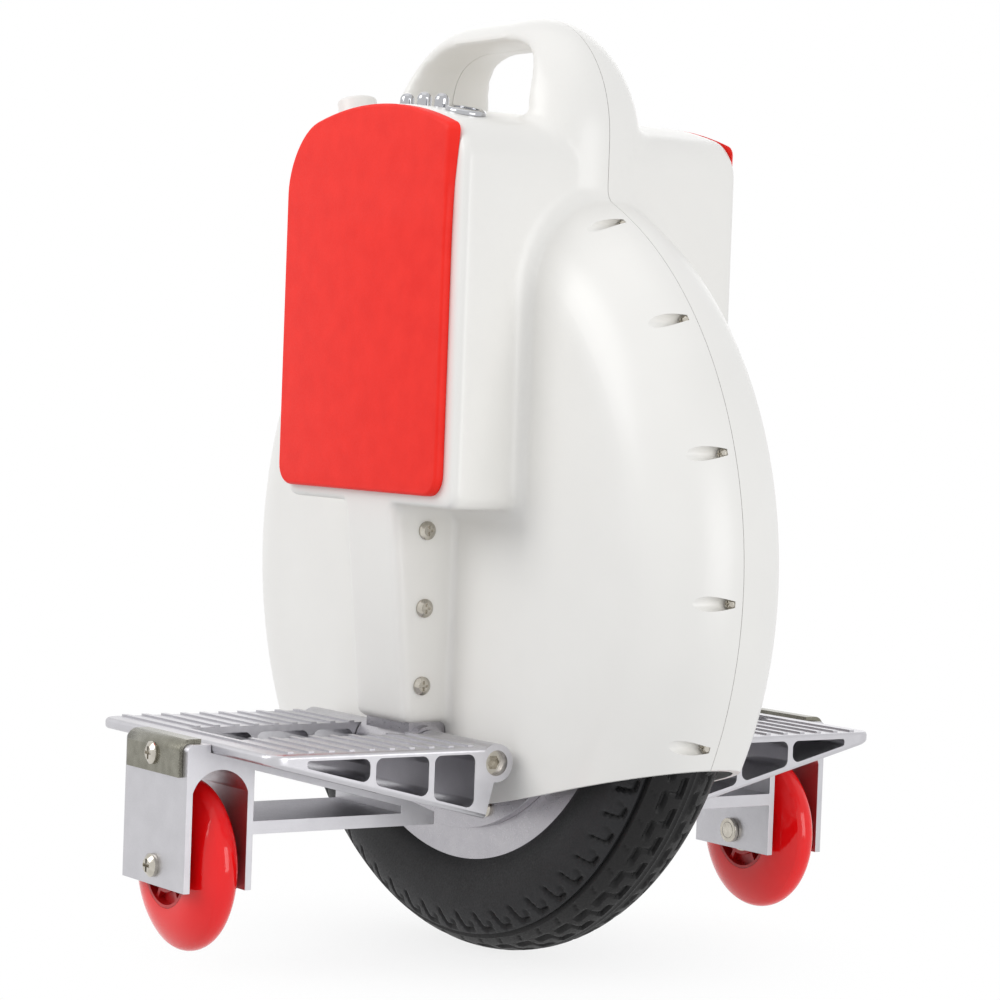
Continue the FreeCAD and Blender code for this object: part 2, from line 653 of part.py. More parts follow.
end_turn = body("end_turn", height=AXLE_HEIGHT)
turn_path = sketch(end_turn, "XY_Plane")
circle(turn_path, "winding_circle", "stator_half + winding_radius + seat_gap", "winding_radius")
turn_ring = end_turn.newObject("PartDesign::Revolution", "Turned")
turn_ring.Profile = turn_path
turn_ring.ReferenceAxis = (turn_path, ["V_Axis"])
turn_ring.Angle = 360
doc.recompute()
windings = group("windings", [end_turn.Shape, end_turn.Shape.mirror(V(0, 0, 0), V(0, 1, 0))])

# Motor covers: plates with raised rings, each with a seat for the hub bearing
left_motor_cover = body("left_motor_cover", height=AXLE_HEIGHT)
plate_face = f"({COVER_FACE} + cover_thickness)"
ring_face = f"({plate_face} + cover_ring_height)"
seat_radius = "(bearing_radius + running_gap)"
boss_radius = "(bearing_radius + running_gap + bearing_boss)"
ring_out = "(cover_screw_circle - 2 * cover_ring_width)"
turned(left_motor_cover, [(seat_radius, COVER_FACE), ("cover_radius", COVER_FACE), ("cover_radius", plate_face),
                          (ring_out, plate_face), (ring_out, ring_face),
                          (f"{ring_out} - cover_ring_width", ring_face), (f"{ring_out} - cover_ring_width", plate_face),
                          (f"{ring_out} - 3 * cover_ring_width", plate_face),
                          (f"{ring_out} - 3 * cover_ring_width", ring_face),
                          (f"{ring_out} - 4 * cover_ring_width", ring_face),
                          (f"{ring_out} - 4 * cover_ring_width", plate_face),
                          (boss_radius, plate_face), (boss_radius, f"{BEARING_END} + seat_gap + bearing_lip"),
                          ("bearing_lip_radius", f"{BEARING_END} + seat_gap + bearing_lip"),
                          ("bearing_lip_radius", f"{BEARING_END} + seat_gap"),
                          (seat_radius, f"{BEARING_END} + seat_gap")])
cover_holes = sketch(left_motor_cover, "XZ_Plane")
for turn in range(int(value("cover_screw_count"))):
    angle = f"({turn} * 360 / cover_screw_count)"
    circle(cover_holes, f"cover_screw_circle * cos{angle}", f"cover_screw_circle * sin{angle}",
           "column_screw_radius + running_gap")
pocket(left_motor_cover, cover_holes)
right_motor_cover = mirrored("right_motor_cover", left_motor_cover)

cover_screw = screw("cover_screw", "column_screw_radius", "column_screw_head", "column_screw_head_height",
                    "cover_thickness + bearing_width")
doc.recompute()
screws = []
for turn in range(int(value("cover_screw_count"))):
    angle = 2 * math.pi * turn / value("cover_screw_count")
    for side in SIDES:
        place = V(value("cover_screw_circle") * math.cos(angle), side * value(plate_face),
                  value(AXLE_HEIGHT) + value("cover_screw_circle") * math.sin(angle))
        screws.append(placed(cover_screw, place, V(0, side, 0)))
cover_screws = group("cover_screws", screws)

bearing_near = sleeve("bearing_near", axle_fit, "bearing_radius", COVER_FACE, BEARING_END, height=AXLE_HEIGHT)
doc.recompute()
hub_bearings = group("hub_bearings", [bearing_near.Shape, bearing_near.Shape.mirror(V(0, 0, 0), V(0, 1, 0))])

# Axle with its spacers, washers and nuts; the motor cable leaves through its right end
axle = body("axle", height=AXLE_HEIGHT)
turned(axle, [("0", f"-{AXLE_END}"), ("axle_end_radius", f"-{AXLE_END}"), ("axle_end_radius", f"-{BEARING_END}"),
              ("axle_radius", f"-{BEARING_END}"), ("axle_radius", BEARING_END), ("axle_end_radius", BEARING_END),
              ("axle_end_radius", AXLE_END), ("0", AXLE_END)])
cable_hole = sketch(axle, "XZ_Plane", AXLE_END)
circle(cable_hole, "0", "0", "cable_radius + loose_gap")
pocket(axle, cable_hole, "cable_depth + loose_gap")

end_fit = "(axle_end_radius + running_gap)"
spacer_near = sleeve("spacer_near", end_fit, "spacer_radius", f"{BEARING_END} + seat_gap",
                     "hanger_inner - seat_gap", height=AXLE_HEIGHT)
washer_near = sleeve("washer_near", end_fit, "washer_radius", f"{HANGER_FACE} + seat_gap", NUT_FACE,
                     height=AXLE_HEIGHT)
nut_near = body("nut_near", height=AXLE_HEIGHT)
nut_sketch = sketch(nut_near, "XZ_Plane", f"-({NUT_FACE} + seat_gap)")
hexagon(nut_sketch, "0", "0", "axle_nut_flats")
circle(nut_sketch, "0", "0", end_fit)
pad(nut_near, nut_sketch, "axle_nut_height - seat_gap", flip=True)
doc.recompute()
axle_spacers = group("axle_spacers", [spacer_near.Shape, spacer_near.Shape.mirror(V(0, 0, 0), V(0, 1, 0))])
axle_washers = group("axle_washers", [washer_near.Shape, washer_near.Shape.mirror(V(0, 0, 0), V(0, 1, 0))])
axle_nuts = group("axle_nuts", [nut_near.Shape, nut_near.Shape.mirror(V(0, 0, 0), V(0, 1, 0))])

# Half shell, outside: wheel dome, side box, column and half of the carry handle
dome = body("dome", height="dome_height")
turned(dome, [("0", "0"), ("dome_radius", "0"), ("dome_radius", "dome_half"), ("0", "dome_half")])
fillet(dome, "dome_nose", lambda edge: lies_at(edge, "y", value("dome_half")))


def side_box(label, inset):
    """Side box, or its hollow at an inset."""
    made = body(label)
    drawing = sketch(made, "XZ_Plane")
    arched(drawing, f"box_width_half - {inset}", f"box_floor + {inset}", f"(box_crown - {inset})",
           f"(box_top_radius - {inset})")
    pad(made, drawing, f"box_reach - {inset}", flip=True)
    fillet(made, f"box_corner_top - {inset}",
           lambda edge: runs_along(edge, "y") and edge.BoundBox.ZMin > value(BOX_MIDDLE))
    fillet(made, f"box_corner_low - {inset}",
           lambda edge: runs_along(edge, "y") and edge.BoundBox.ZMin < value(BOX_MIDDLE))
    return made


box = side_box("box", "0")
fillet(box, "box_edge", lambda edge: lies_at(edge, "y", value("box_reach")))

column = body("column")
column_sketch = sketch(column, "YZ_Plane")
outline(column_sketch, [("0", "column_foot"), ("column_foot_reach", "column_foot"),
                        ("column_top_reach", "box_floor + box_edge"), ("0", "box_floor + box_edge")])
pad(column, column_sketch, "2 * column_half", both_ways=True)
fillet(column, "column_edge",
       lambda edge: edge.BoundBox.YMin > value("dome_half") and edge.BoundBox.ZLength > value("dome_half"))

handle = body("handle")
handle_sketch = sketch(handle, "XZ_Plane")
handle_low = "hole_floor - dome_half"
handle_spring = "(handle_crown - handle_radius)"
eighth = f"{handle_spring} + handle_radius * sin(45)"
outline(handle_sketch, [("-handle_radius", handle_low), ("handle_radius", handle_low),
                        ("handle_radius", handle_spring), ("0", "handle_crown"), ("-handle_radius", handle_spring)],
        {2: ("handle_radius * cos(45)", eighth, "handle_radius"),
         3: ("-handle_radius * cos(45)", eighth, "handle_radius")})
pad(handle, handle_sketch, "handle_half", flip=True)
finger_gap = sketch(handle, "XZ_Plane")
arched(finger_gap, "hole_half", "hole_floor", "hole_crown", "hole_top_radius")
pocket(handle, finger_gap)
fillet(handle, "hole_corner",
       lambda edge: runs_along(edge, "y") and near(abs(edge.BoundBox.XMin), value("hole_half")))
fillet(handle, "handle_round",
       lambda edge: lies_at(edge, "y", value("handle_half"))
       and edge.BoundBox.ZMax > value(f"{handle_spring} + hole_corner"))

shell_outside = united("shell_outside", [dome, box, column, handle])

# Half shell, inside: the same forms one wall smaller, less the bosses of the seam screws
dome_hollow = body("dome_hollow", height="dome_height")
turned(dome_hollow, [("0", "0"), ("dome_radius - shell_wall", "0"),
                     ("dome_radius - shell_wall", "dome_half - shell_wall"), ("0", "dome_half - shell_wall")])
fillet(dome_hollow, "dome_nose - shell_wall", lambda edge: lies_at(edge, "y", value("dome_half - shell_wall")))
box_hollow = side_box("box_hollow", "shell_wall")
column_hollow = body("column_hollow")
hollow_sketch = sketch(column_hollow, "YZ_Plane")
hollow_foot = "column_foot - shell_wall"
hollow_top = "box_floor + 2 * shell_wall"
foot_inside = "column_foot_reach - shell_wall"
behind_dome = "dome_half - 2 * shell_wall"
outline(hollow_sketch, [("dome_half", hollow_foot), (foot_inside, hollow_foot), (foot_inside, "column_foot"),
                        ("column_top_reach - shell_wall", hollow_top), (behind_dome, hollow_top),
                        (behind_dome, "column_foot"), ("dome_half", "column_foot")])
pad(column_hollow, hollow_sketch, "2 * (column_half - shell_wall)", both_ways=True)
shell_inside = united("shell_inside", [dome_hollow, box_hollow, column_hollow])

SEAM_SCREWS = []
for way in ("", "-"):
    for place in range(5):
        angle = f"(seam_screw_first - {place} * seam_screw_pitch)"
        SEAM_SCREWS.append((f"{way}(seam_screw_circle * cos{angle})",
                            f"dome_height + seam_screw_circle * sin{angle}"))


def seam_rods(label, radius, start, length):
    """Rods along Y at every seam screw."""
    made = body(label)
    drawing = sketch(made, "XZ_Plane", f"-({start})")
    for across, up in SEAM_SCREWS:
        circle(drawing, across, up, radius)
    pad(made, drawing, length, flip=True)
    return made


seam_bosses = seam_rods("seam_bosses", "scoop_radius + seam_boss_wall", "0", "seam_boss_length")
shell_cavity = cut("shell_cavity", shell_inside, seam_bosses)

skirt = body("skirt")
skirt_sketch = sketch(skirt, "XZ_Plane")
far = "dome_radius + dome_half"
end_reach = "(skirt_knee_reach + dome_nose / 2)"
outline(skirt_sketch, [(f"-({far})", "-dome_half"), (far, "-dome_half"), (far, "skirt_end"),
                       (end_reach, "skirt_end"), ("skirt_knee_reach", "skirt_knee"),
                       ("skirt_middle_half", "skirt_middle"), ("-skirt_middle_half", "skirt_middle"),
                       ("-skirt_knee_reach", "skirt_knee"), (f"-{end_reach}", "skirt_end"),
                       (f"-({far})", "skirt_end")])
pad(skirt, skirt_sketch, "dome_half + shell_wall", flip=True)

column_holes = body("column_holes")
holes_sketch = sketch(column_holes, "YZ_Plane")
for place in range(3):
    circle(holes_sketch, "column_screw_reach", f"column_screw_low + {place} * column_screw_pitch",
           "column_screw_radius + seat_gap")
pad(column_holes, holes_sketch, "2 * (column_half + shell_wall)", both_ways=True)

shell_voids = united("shell_voids", [shell_cavity, skirt, column_holes])
half_shell = cut("half_shell", shell_outside, shell_voids)

# Left half takes the screw tips; right half has the screw scoops and the holes of the top fittings
pilot_holes = seam_rods("pilot_holes", "seam_screw_radius + running_gap", "0", "seam_screw_bite + loose_gap")
left_half_shell = cut("left_half_shell", half_shell, pilot_holes)

scoops = seam_rods("scoops", "scoop_radius", "seam_lug", "dome_half")
lug_holes = seam_rods("lug_holes", "seam_screw_radius + running_gap", "0", "seam_lug")
top_holes = []
LAMPS = [f"(lamp_angle + {place} * lamp_pitch)" for place in range(3)]
TOP_HOLES = [("button_hole", "button_angle", "bezel_barrel"), ("cap_hole", "cap_angle", "socket_barrel")]
TOP_HOLES += [(f"lamp_hole_{place}", angle, "lamp_barrel") for place, angle in enumerate(LAMPS)]
above = "2 * shell_wall"
below = "-2 * shell_wall"
for label, angle, radius in TOP_HOLES:
    rod = f"({radius} + seat_gap)"
    top_holes.append(standing(label, angle, [("0", below), (rod, below), (rod, above), ("0", above)]))
right_voids = united("right_voids", [scoops, lug_holes] + top_holes)
right_pattern = cut("right_pattern", half_shell, right_voids)
right_half_shell = mirrored("right_half_shell", right_pattern)

# Seam screws: heads in the scoops of the right half
seam_screw = screw("seam_screw", "seam_screw_radius", "seam_screw_head", "seam_screw_head_height",
                   "seam_lug + seam_screw_bite")
doc.recompute()
screws = []
for across, up in SEAM_SCREWS:
    screws.append(placed(seam_screw, V(value(across), -value("seam_lug"), value(up)), V(0, -1, 0)))
seam_screws = group("seam_screws", screws)

# Side pads: firm foam with a round edge on the outer face of each box
left_side_pad = body("left_side_pad")
pad_sketch = sketch(left_side_pad, "XZ_Plane", "-(box_reach + seat_gap)")
pad_back = "(box_width_half - pad_margin)"
pad_crown = "(box_crown - pad_margin)"
pad_arch = "(box_top_radius - pad_margin)"


def pad_top(across):
    """Height of the pad's arched top."""
    return f"({pad_crown} - {pad_arch} + sqrt({pad_arch}^2 - {across}^2))"


outline(pad_sketch, [(f"-{pad_back}", "pad_floor"), ("pad_front", "pad_floor"), ("pad_front", "pad_flare"),
                     ("pad_horn", pad_top("pad_horn")), (f"-{pad_back}", pad_top(pad_back))],
        {3: ("0", pad_crown, pad_arch)})
pad(left_side_pad, pad_sketch, "pad_thickness", flip=True)
fillet(left_side_pad, "pad_round_back",
       lambda edge: runs_along(edge, "y") and edge.BoundBox.ZMin > value("pad_flare") and edge.BoundBox.XMin < 0)
fillet(left_side_pad, "pad_round_low",
       lambda edge: runs_along(edge, "y") and lies_at(edge, "z", value("pad_floor")))
fillet(left_side_pad, "pad_edge", lambda edge: lies_at(edge, "y", value("box_reach + seat_gap + pad_thickness")))
right_side_pad = mirrored("right_side_pad", left_side_pad)

# Hangers: cast channels in the columns that hold the axle ends and the pedal hinges
left_hanger = body("left_hanger")
plate_sketch = sketch(left_hanger, "YZ_Plane")
outline(plate_sketch, [("hanger_inner", "hinge_height"), ("hanger_reach", "hinge_height"),
                       ("hanger_reach", "hanger_top"), ("hanger_inner", "hanger_top")])
pad(left_hanger, plate_sketch, f"2 * {HANGER_HALF}", both_ways=True)
channel = sketch(left_hanger, "XZ_Plane", f"-{HANGER_FACE}")
cheek = f"({HANGER_HALF} - hanger_cheek)"
outline(channel, [(f"-{cheek}", "column_foot + hanger_floor"), (cheek, "column_foot + hanger_floor"),
                  (cheek, "hanger_top + hanger_floor"), (f"-{cheek}", "hanger_top + hanger_floor")])
pocket(left_hanger, channel, "hanger_reach", flip=False)
knuckle = sketch(left_hanger, "YZ_Plane")
circle(knuckle, "hinge_reach", "hinge_height", "knuckle_radius")
pad(left_hanger, knuckle, "2 * knuckle_half", both_ways=True)
knuckle_bore = sketch(left_hanger, "YZ_Plane")
circle(knuckle_bore, "hinge_reach", "hinge_height", "bush_radius + running_gap")
pocket(left_hanger, knuckle_bore)
axle_bore = sketch(left_hanger, "XZ_Plane")
circle(axle_bore, "0", AXLE_HEIGHT, end_fit)
pocket(left_hanger, axle_bore)
thread_holes = sketch(left_hanger, "YZ_Plane")
for place in range(3):
    circle(thread_holes, "column_screw_reach", f"column_screw_low + {place} * column_screw_pitch",
           "column_screw_radius + running_gap")
pocket(left_hanger, thread_holes)
right_hanger = mirrored("right_hanger", left_hanger)

left_hinge_bush = body("left_hinge_bush")
bush_sketch = sketch(left_hinge_bush, "YZ_Plane")
circle(bush_sketch, "hinge_reach", "hinge_height", "bush_radius")
circle(bush_sketch, "hinge_reach", "hinge_height", "hinge_pin_radius + running_gap")
pad(left_hinge_bush, bush_sketch, "2 * knuckle_half", both_ways=True)
right_hinge_bush = mirrored("right_hinge_bush", left_hinge_bush)

column_screw = screw("column_screw", "column_screw_radius", "column_screw_head", "column_screw_head_height",
                     "shell_wall + seat_gap + hanger_cheek")
doc.recompute()
screws = []
for side in SIDES:
    for way in SIDES:
        for place in range(3):
            spot = V(way * value("column_half"), side * value("column_screw_reach"),
                     value(f"column_screw_low + {place} * column_screw_pitch"))
            screws.append(placed(column_screw, spot, V(way, 0, 0)))
column_screws = group("column_screws", screws)

# Pedals: hollow extrusions along X, ribbed on top, split by a gap that clears the column
left_pedal = body("left_pedal")
pedal_sketch = sketch(left_pedal, "YZ_Plane")
outline(pedal_sketch, [("hinge_reach", "pedal_top"), ("pedal_end", "pedal_top"), ("pedal_end", "pedal_end_height"),
                       ("pedal_root", "pedal_root_height"), ("hinge_reach", "hinge_height - hinge_lug_radius / 2")])
pad(left_pedal, pedal_sketch, "2 * pedal_half", both_ways=True)
fillet(left_pedal, "pedal_corner", lambda edge: runs_along(edge, "z") and edge.BoundBox.YMin > value("window_end"))
for level in ("pedal_top", "pedal_end_height"):
    fillet(left_pedal, "pedal_nose",
           lambda edge: lies_at(edge, "y", value("pedal_end")) and lies_at(edge, "z", value(level)))
lug = sketch(left_pedal, "YZ_Plane")
circle(lug, "hinge_reach", "hinge_height", "hinge_lug_radius")
pad(left_pedal, lug, "2 * pedal_half", both_ways=True)

cells = sketch(left_pedal, "YZ_Plane")
ceiling = "pedal_top - pedal_wall"
half_web = "pedal_wall / 2"
first_cell = "hinge_reach + hinge_lug_radius + pedal_wall"


def cell_floor(reach):
    """Height of a cell's sloping floor."""
    return f"{underside(reach)} + pedal_wall * floor_slant"


for inner_end, outer_end in [(first_cell, f"pedal_web_inner - {half_web}"),
                             (f"pedal_web_inner + {half_web}", f"pedal_web_outer - {half_web}"),
                             (f"pedal_web_outer + {half_web}", "pedal_cell_end")]:
    outline(cells, [(inner_end, cell_floor(f"({inner_end})")), (outer_end, cell_floor(f"({outer_end})")),
                    (outer_end, ceiling), (inner_end, ceiling)])
pocket(left_pedal, cells)
fillet(left_pedal, "pedal_cell_round",
       lambda edge: runs_along(edge, "x") and value("hinge_reach + hinge_lug_radius") < edge.BoundBox.YMin
       < value("pedal_cell_end - pedal_cell_round") and edge.BoundBox.ZMax < value(f"{ceiling} + {half_web}")
       and edge.BoundBox.ZMin > value(underside("0")) + value(PEDAL_SLOPE) * edge.BoundBox.YMin + value(half_web))
fillet(left_pedal, "pedal_tip_round",
       lambda edge: runs_along(edge, "x") and lies_at(edge, "y", value("pedal_cell_end")))

ribs = sketch(left_pedal, "YZ_Plane")
outline(ribs, [("rib_first", "pedal_top"), ("rib_first + rib_width", "pedal_top"),
               ("rib_first + rib_width", RIB_TOP), ("rib_first", RIB_TOP)])
rib = pad(left_pedal, ribs, "2 * (pedal_half - pedal_wall)", both_ways=True)
doc.recompute()
rib_row = left_pedal.newObject("PartDesign::LinearPattern", "Ribs")
rib_row.Originals = [rib]
rib_row.Direction = (ribs, ["H_Axis"])
rib_row.Mode = "Spacing"
rib_row.setExpression("Offset", cell("rib_pitch"))
rib_row.setExpression("Occurrences", cell("floor((rib_last - rib_first) / rib_pitch) + 1"))
left_pedal.Tip = rib_row
window = sketch(left_pedal, "XY_Plane")
behind_hinge = "hinge_reach - 2 * hinge_lug_radius"
outline(window, [("-window_half", behind_hinge), ("window_half", behind_hinge),
                 ("window_half", "window_end"), ("-window_half", "window_end")])
pocket(left_pedal, window)
pin_bore = sketch(left_pedal, "YZ_Plane")
circle(pin_bore, "hinge_reach", "hinge_height", "hinge_pin_radius + running_gap")
pocket(left_pedal, pin_bore)
right_pedal = mirrored("right_pedal", left_pedal)

left_hinge_pin = body("left_hinge_pin")
pin_sketch = sketch(left_hinge_pin, "YZ_Plane")
circle(pin_sketch, "hinge_reach", "hinge_height", "hinge_pin_radius")
pin_half = "(pedal_half - pin_recess)"
pad(left_hinge_pin, pin_sketch, f"2 * {pin_half}", both_ways=True)
for way in (1, -1):
    socket = sketch(left_hinge_pin, "YZ_Plane", f"{way} * {pin_half}")
    hexagon(socket, "hinge_reach", "hinge_height", "pin_socket_flats")
    pocket(left_hinge_pin, socket, "pin_socket_depth", flip=way < 0)
right_hinge_pin = mirrored("right_hinge_pin", left_hinge_pin)

# Stabiliser brackets: one extrusion with a fork for the roller and a braced strut under the pedal
left_bracket = body("left_bracket")
bracket_sketch = sketch(left_bracket, "YZ_Plane")
under_end = f"{underside('(pedal_end + loose_gap)')} - seat_gap"
under_root = f"{underside('(pedal_root + strut_thickness)')} - seat_gap"
leg_inside = "(bracket_inner + bracket_wall)"
outer_leg_inside = "bracket_reach - bracket_wall"
arch_top = f"({underside(leg_inside)} - arch_roof)"
arch_spring = f"({arch_top} - arch_radius + sqrt(arch_radius^2 - fork_gap^2 / 4))"
outline(bracket_sketch,
        [("bracket_reach", "bracket_foot"), ("bracket_reach", "bracket_hook"),
         ("pedal_end + loose_gap", "bracket_hook"), ("pedal_end + loose_gap", under_end),
         ("pedal_root + strut_thickness", under_root), ("tip_reach", "strut_low + strut_thickness"),
         ("tip_reach", "strut_low"), ("bracket_inner", "strut_low"), ("bracket_inner", "bracket_foot"),
         (leg_inside, "bracket_foot"), (leg_inside, arch_spring), (outer_leg_inside, arch_spring),
         (outer_leg_inside, "bracket_foot")],
        {10: (ROLLER_MIDDLE, arch_top, "arch_radius")})
pad(left_bracket, bracket_sketch, "2 * bracket_half", both_ways=True)
fillet(left_bracket, "clip_bend",
       lambda edge: lies_at(edge, "y", value("bracket_reach")) and lies_at(edge, "z", value("bracket_hook")))
triangle = sketch(left_bracket, "YZ_Plane")
brace_low = "brace_thickness + seat_gap"
strut_top = "strut_low + strut_thickness"
triangle_root = "(pedal_root + 2 * strut_thickness)"
outline(triangle, [(triangle_root, strut_top), ("bracket_inner", strut_top),
                   ("bracket_inner", f"{underside('bracket_inner')} - {brace_low}"),
                   (triangle_root, f"{underside(triangle_root)} - ({brace_low})")])
pocket(left_bracket, triangle)
fork_bore = sketch(left_bracket, "XZ_Plane")
circle(fork_bore, "0", "roller_height", "roller_bolt_radius + running_gap")
pocket(left_bracket, fork_bore)
clip_bore = sketch(left_bracket, "XZ_Plane", "-bracket_reach")
circle(clip_bore, "0", "clip_screw_height", "clip_screw_radius + running_gap")
pocket(left_bracket, clip_bore, "clip_screw_bite + loose_gap", flip=True)
right_bracket = mirrored("right_bracket", left_bracket)

# Clips: plates bent over the bracket's outer corner, each held by one screw
left_clip = body("left_clip")
clip_sketch = sketch(left_clip, "YZ_Plane")
clip_in = "bracket_reach + seat_gap"
clip_out = "bracket_reach + seat_gap + clip_plate"
lip_low = "bracket_hook + seat_gap"
lip_high = "bracket_hook + seat_gap + clip_plate"
outline(clip_sketch, [(clip_in, "clip_foot"), (clip_out, "clip_foot"), (clip_out, lip_high),
                      ("clip_lip", lip_high), ("clip_lip", lip_low), (clip_in, lip_low)])
pad(left_clip, clip_sketch, "2 * clip_half", both_ways=True)
for bend, reach, height in (("clip_bend + seat_gap", clip_in, lip_low),
                            ("clip_bend + seat_gap + clip_plate", clip_out, lip_high)):
    fillet(left_clip, bend, lambda edge: lies_at(edge, "y", value(reach)) and lies_at(edge, "z", value(height)))
clip_hole = sketch(left_clip, "XZ_Plane")
circle(clip_hole, "0", "clip_screw_height", "clip_screw_radius + running_gap")
pocket(left_clip, clip_hole)
right_clip = mirrored("right_clip", left_clip)

clip_screw = screw("clip_screw", "clip_screw_radius", "clip_screw_head", "clip_screw_head_height",
                   "clip_plate + seat_gap + clip_screw_bite")
roller_bolt = screw("roller_bolt", "roller_bolt_radius", "roller_bolt_head", "roller_bolt_head_height",
                    "bracket_reach - bracket_inner + roller_nut_height + seat_gap")
doc.recompute()
left_clip_screw = group("left_clip_screw",
                        [placed(clip_screw, V(0, value(clip_out), value("clip_screw_height")), V(0, 1, 0))])
right_clip_screw = mirrored("right_clip_screw", left_clip_screw)
left_roller_bolt = group("left_roller_bolt",
                         [placed(roller_bolt, V(0, value("bracket_reach"), value("roller_height")), V(0, 1, 0))])
right_roller_bolt = mirrored("right_roller_bolt", left_roller_bolt)
left_roller_nut = body("left_roller_nut", side="bracket_inner - seat_gap", height="roller_height")
roller_nut_sketch = sketch(left_roller_nut, "XZ_Plane")
circle(roller_nut_sketch, "0", "0", "roller_nut_radius")
circle(roller_nut_sketch, "0", "0", "roller_bolt_radius + running_gap")
pad(left_roller_nut, roller_nut_sketch, "roller_nut_height")
right_roller_nut = mirrored("right_roller_nut", left_roller_nut)

# Rollers: cast polyurethane tread on a hub with two bearings
left_roller_tyre = body("left_roller_tyre", side=ROLLER_MIDDLE, height="roller_height")
roller_bore = "roller_hub_radius + running_gap"
flank_reach = "(roller_hub_radius + roller_shoulder) / 2"
flank_out = "((roller_half + roller_tip_half) / 2 + roller_tip_depth)"
tip_round = "(roller_tip_half^2 + roller_tip_depth^2) / (2 * roller_tip_depth)"
turned(left_roller_tyre,
       [(roller_bore, "-roller_half"), ("roller_shoulder", "-roller_tip_half"),
        ("roller_shoulder", "roller_tip_half"), (roller_bore, "roller_half")],
       {0: (flank_reach, f"-{flank_out}", "roller_flank"), 1: ("roller_radius", "0", tip_round),
        2: (flank_reach, flank_out, "roller_flank")})
right_roller_tyre = mirrored("right_roller_tyre", left_roller_tyre)
left_roller_hub = sleeve("left_roller_hub", "roller_bearing_radius + running_gap", "roller_hub_radius", "-roller_half",
                         "roller_half", side=ROLLER_MIDDLE, height="roller_height")
right_roller_hub = mirrored("right_roller_hub", left_roller_hub)
roller_bearing = sleeve("roller_bearing", "roller_bolt_radius + running_gap", "roller_bearing_radius",
                        "roller_half - roller_bearing_width", "roller_half", height="roller_height")
doc.recompute()
bearing_pair = [roller_bearing.Shape, roller_bearing.Shape.mirror(V(0, 0, 0), V(0, 1, 0))]
left_roller_bearings = group("left_roller_bearings", bearing_pair)
left_roller_bearings.setExpression("Placement.Base.y", cell(ROLLER_MIDDLE))
right_roller_bearings = mirrored("right_roller_bearings", left_roller_bearings)

# Top fittings: button in its ring, three lamps, charge socket and cap, made on the left and mirrored
barrel = "bezel_barrel"
ring_bore = "(button_radius + seat_gap)"
bezel_pattern = standing("bezel_pattern", "button_angle",
                         [(ring_bore, "-bezel_depth"), (barrel, "-bezel_depth"), (barrel, "seat_gap"),
                          ("bezel_radius", "seat_gap"), ("bezel_radius", "bezel_height / 2"),
                          ("bezel_barrel", "bezel_height"), (ring_bore, "bezel_height")])
button_bezel = mirrored("button_bezel", bezel_pattern)
button_low = "-(bezel_depth - 2 * button_travel)"
button_face = "bezel_height * button_stand"
button_pattern = standing("button_pattern", "button_angle",
                          [("0", button_low), ("button_radius", button_low), ("button_radius", button_face),
                           ("0", button_face)])
power_button = mirrored("power_button", button_pattern)

lamp_dome = "lamp_height - lamp_radius"
lamps = []
for place, angle in enumerate(LAMPS):
    lamps.append(standing(f"lamp_{place}", angle,
                          [("0", "-lamp_depth"), ("lamp_barrel", "-lamp_depth"), ("lamp_barrel", "seat_gap"),
                           ("lamp_radius", "seat_gap"), ("lamp_radius", lamp_dome), ("0", "lamp_height")],
                          {4: ("lamp_radius * sin(45)", f"{lamp_dome} + lamp_radius * cos(45)", "lamp_radius")}))
doc.recompute()
indicator_lamps = group("indicator_lamps", [lamp.Shape.mirror(V(0, 0, 0), V(0, 1, 0)) for lamp in lamps])

socket_pattern = standing("socket_pattern", "cap_angle",
                          [("socket_bore", "-socket_depth"), ("socket_barrel", "-socket_depth"),
                           ("socket_barrel", "seat_gap"), ("socket_radius", "seat_gap"),
                           ("socket_radius", "socket_flange"), ("socket_barrel", "socket_flange"),
                           ("socket_barrel", "socket_collar"), ("socket_bore", "socket_collar")])
charge_socket = mirrored("charge_socket", socket_pattern)
cap_in = "(socket_barrel + loose_gap)"
cap_low = "(socket_flange + loose_gap)"
cap_ceiling = "(socket_collar + loose_gap)"
cap_pattern = standing("cap_pattern", "cap_angle",
                       [(cap_in, cap_low), (f"{cap_in} + cap_wall", cap_low),
                        (f"{cap_in} + cap_wall", f"{cap_ceiling} + cap_top"), ("0", f"{cap_ceiling} + cap_top"),
                        ("0", cap_ceiling), (cap_in, cap_ceiling)])
fillet(cap_pattern, "cap_round", lambda edge: lies_at(edge, "z", value(f"{cap_ceiling} + cap_top")))
charge_cap = mirrored("charge_cap", cap_pattern)

# Inside the boxes: inner covers, battery on the left, control board with its heat sink on the right
left_inner_cover = block("left_inner_cover", "-(box_width_half - box_corner_low)",
                         "2 * (box_width_half - box_corner_low)", "cover_sheet_place", "cover_sheet",
                         "box_floor + shell_wall + loose_gap", "cover_sheet_height")
right_inner_cover = mirrored("right_inner_cover", left_inner_cover)
battery_pack = block("battery_pack", "-battery_half", "2 * battery_half", f"{BOX_INSIDE} - battery_depth",
                     "battery_depth", "box_floor + shell_wall + loose_gap", "battery_height")

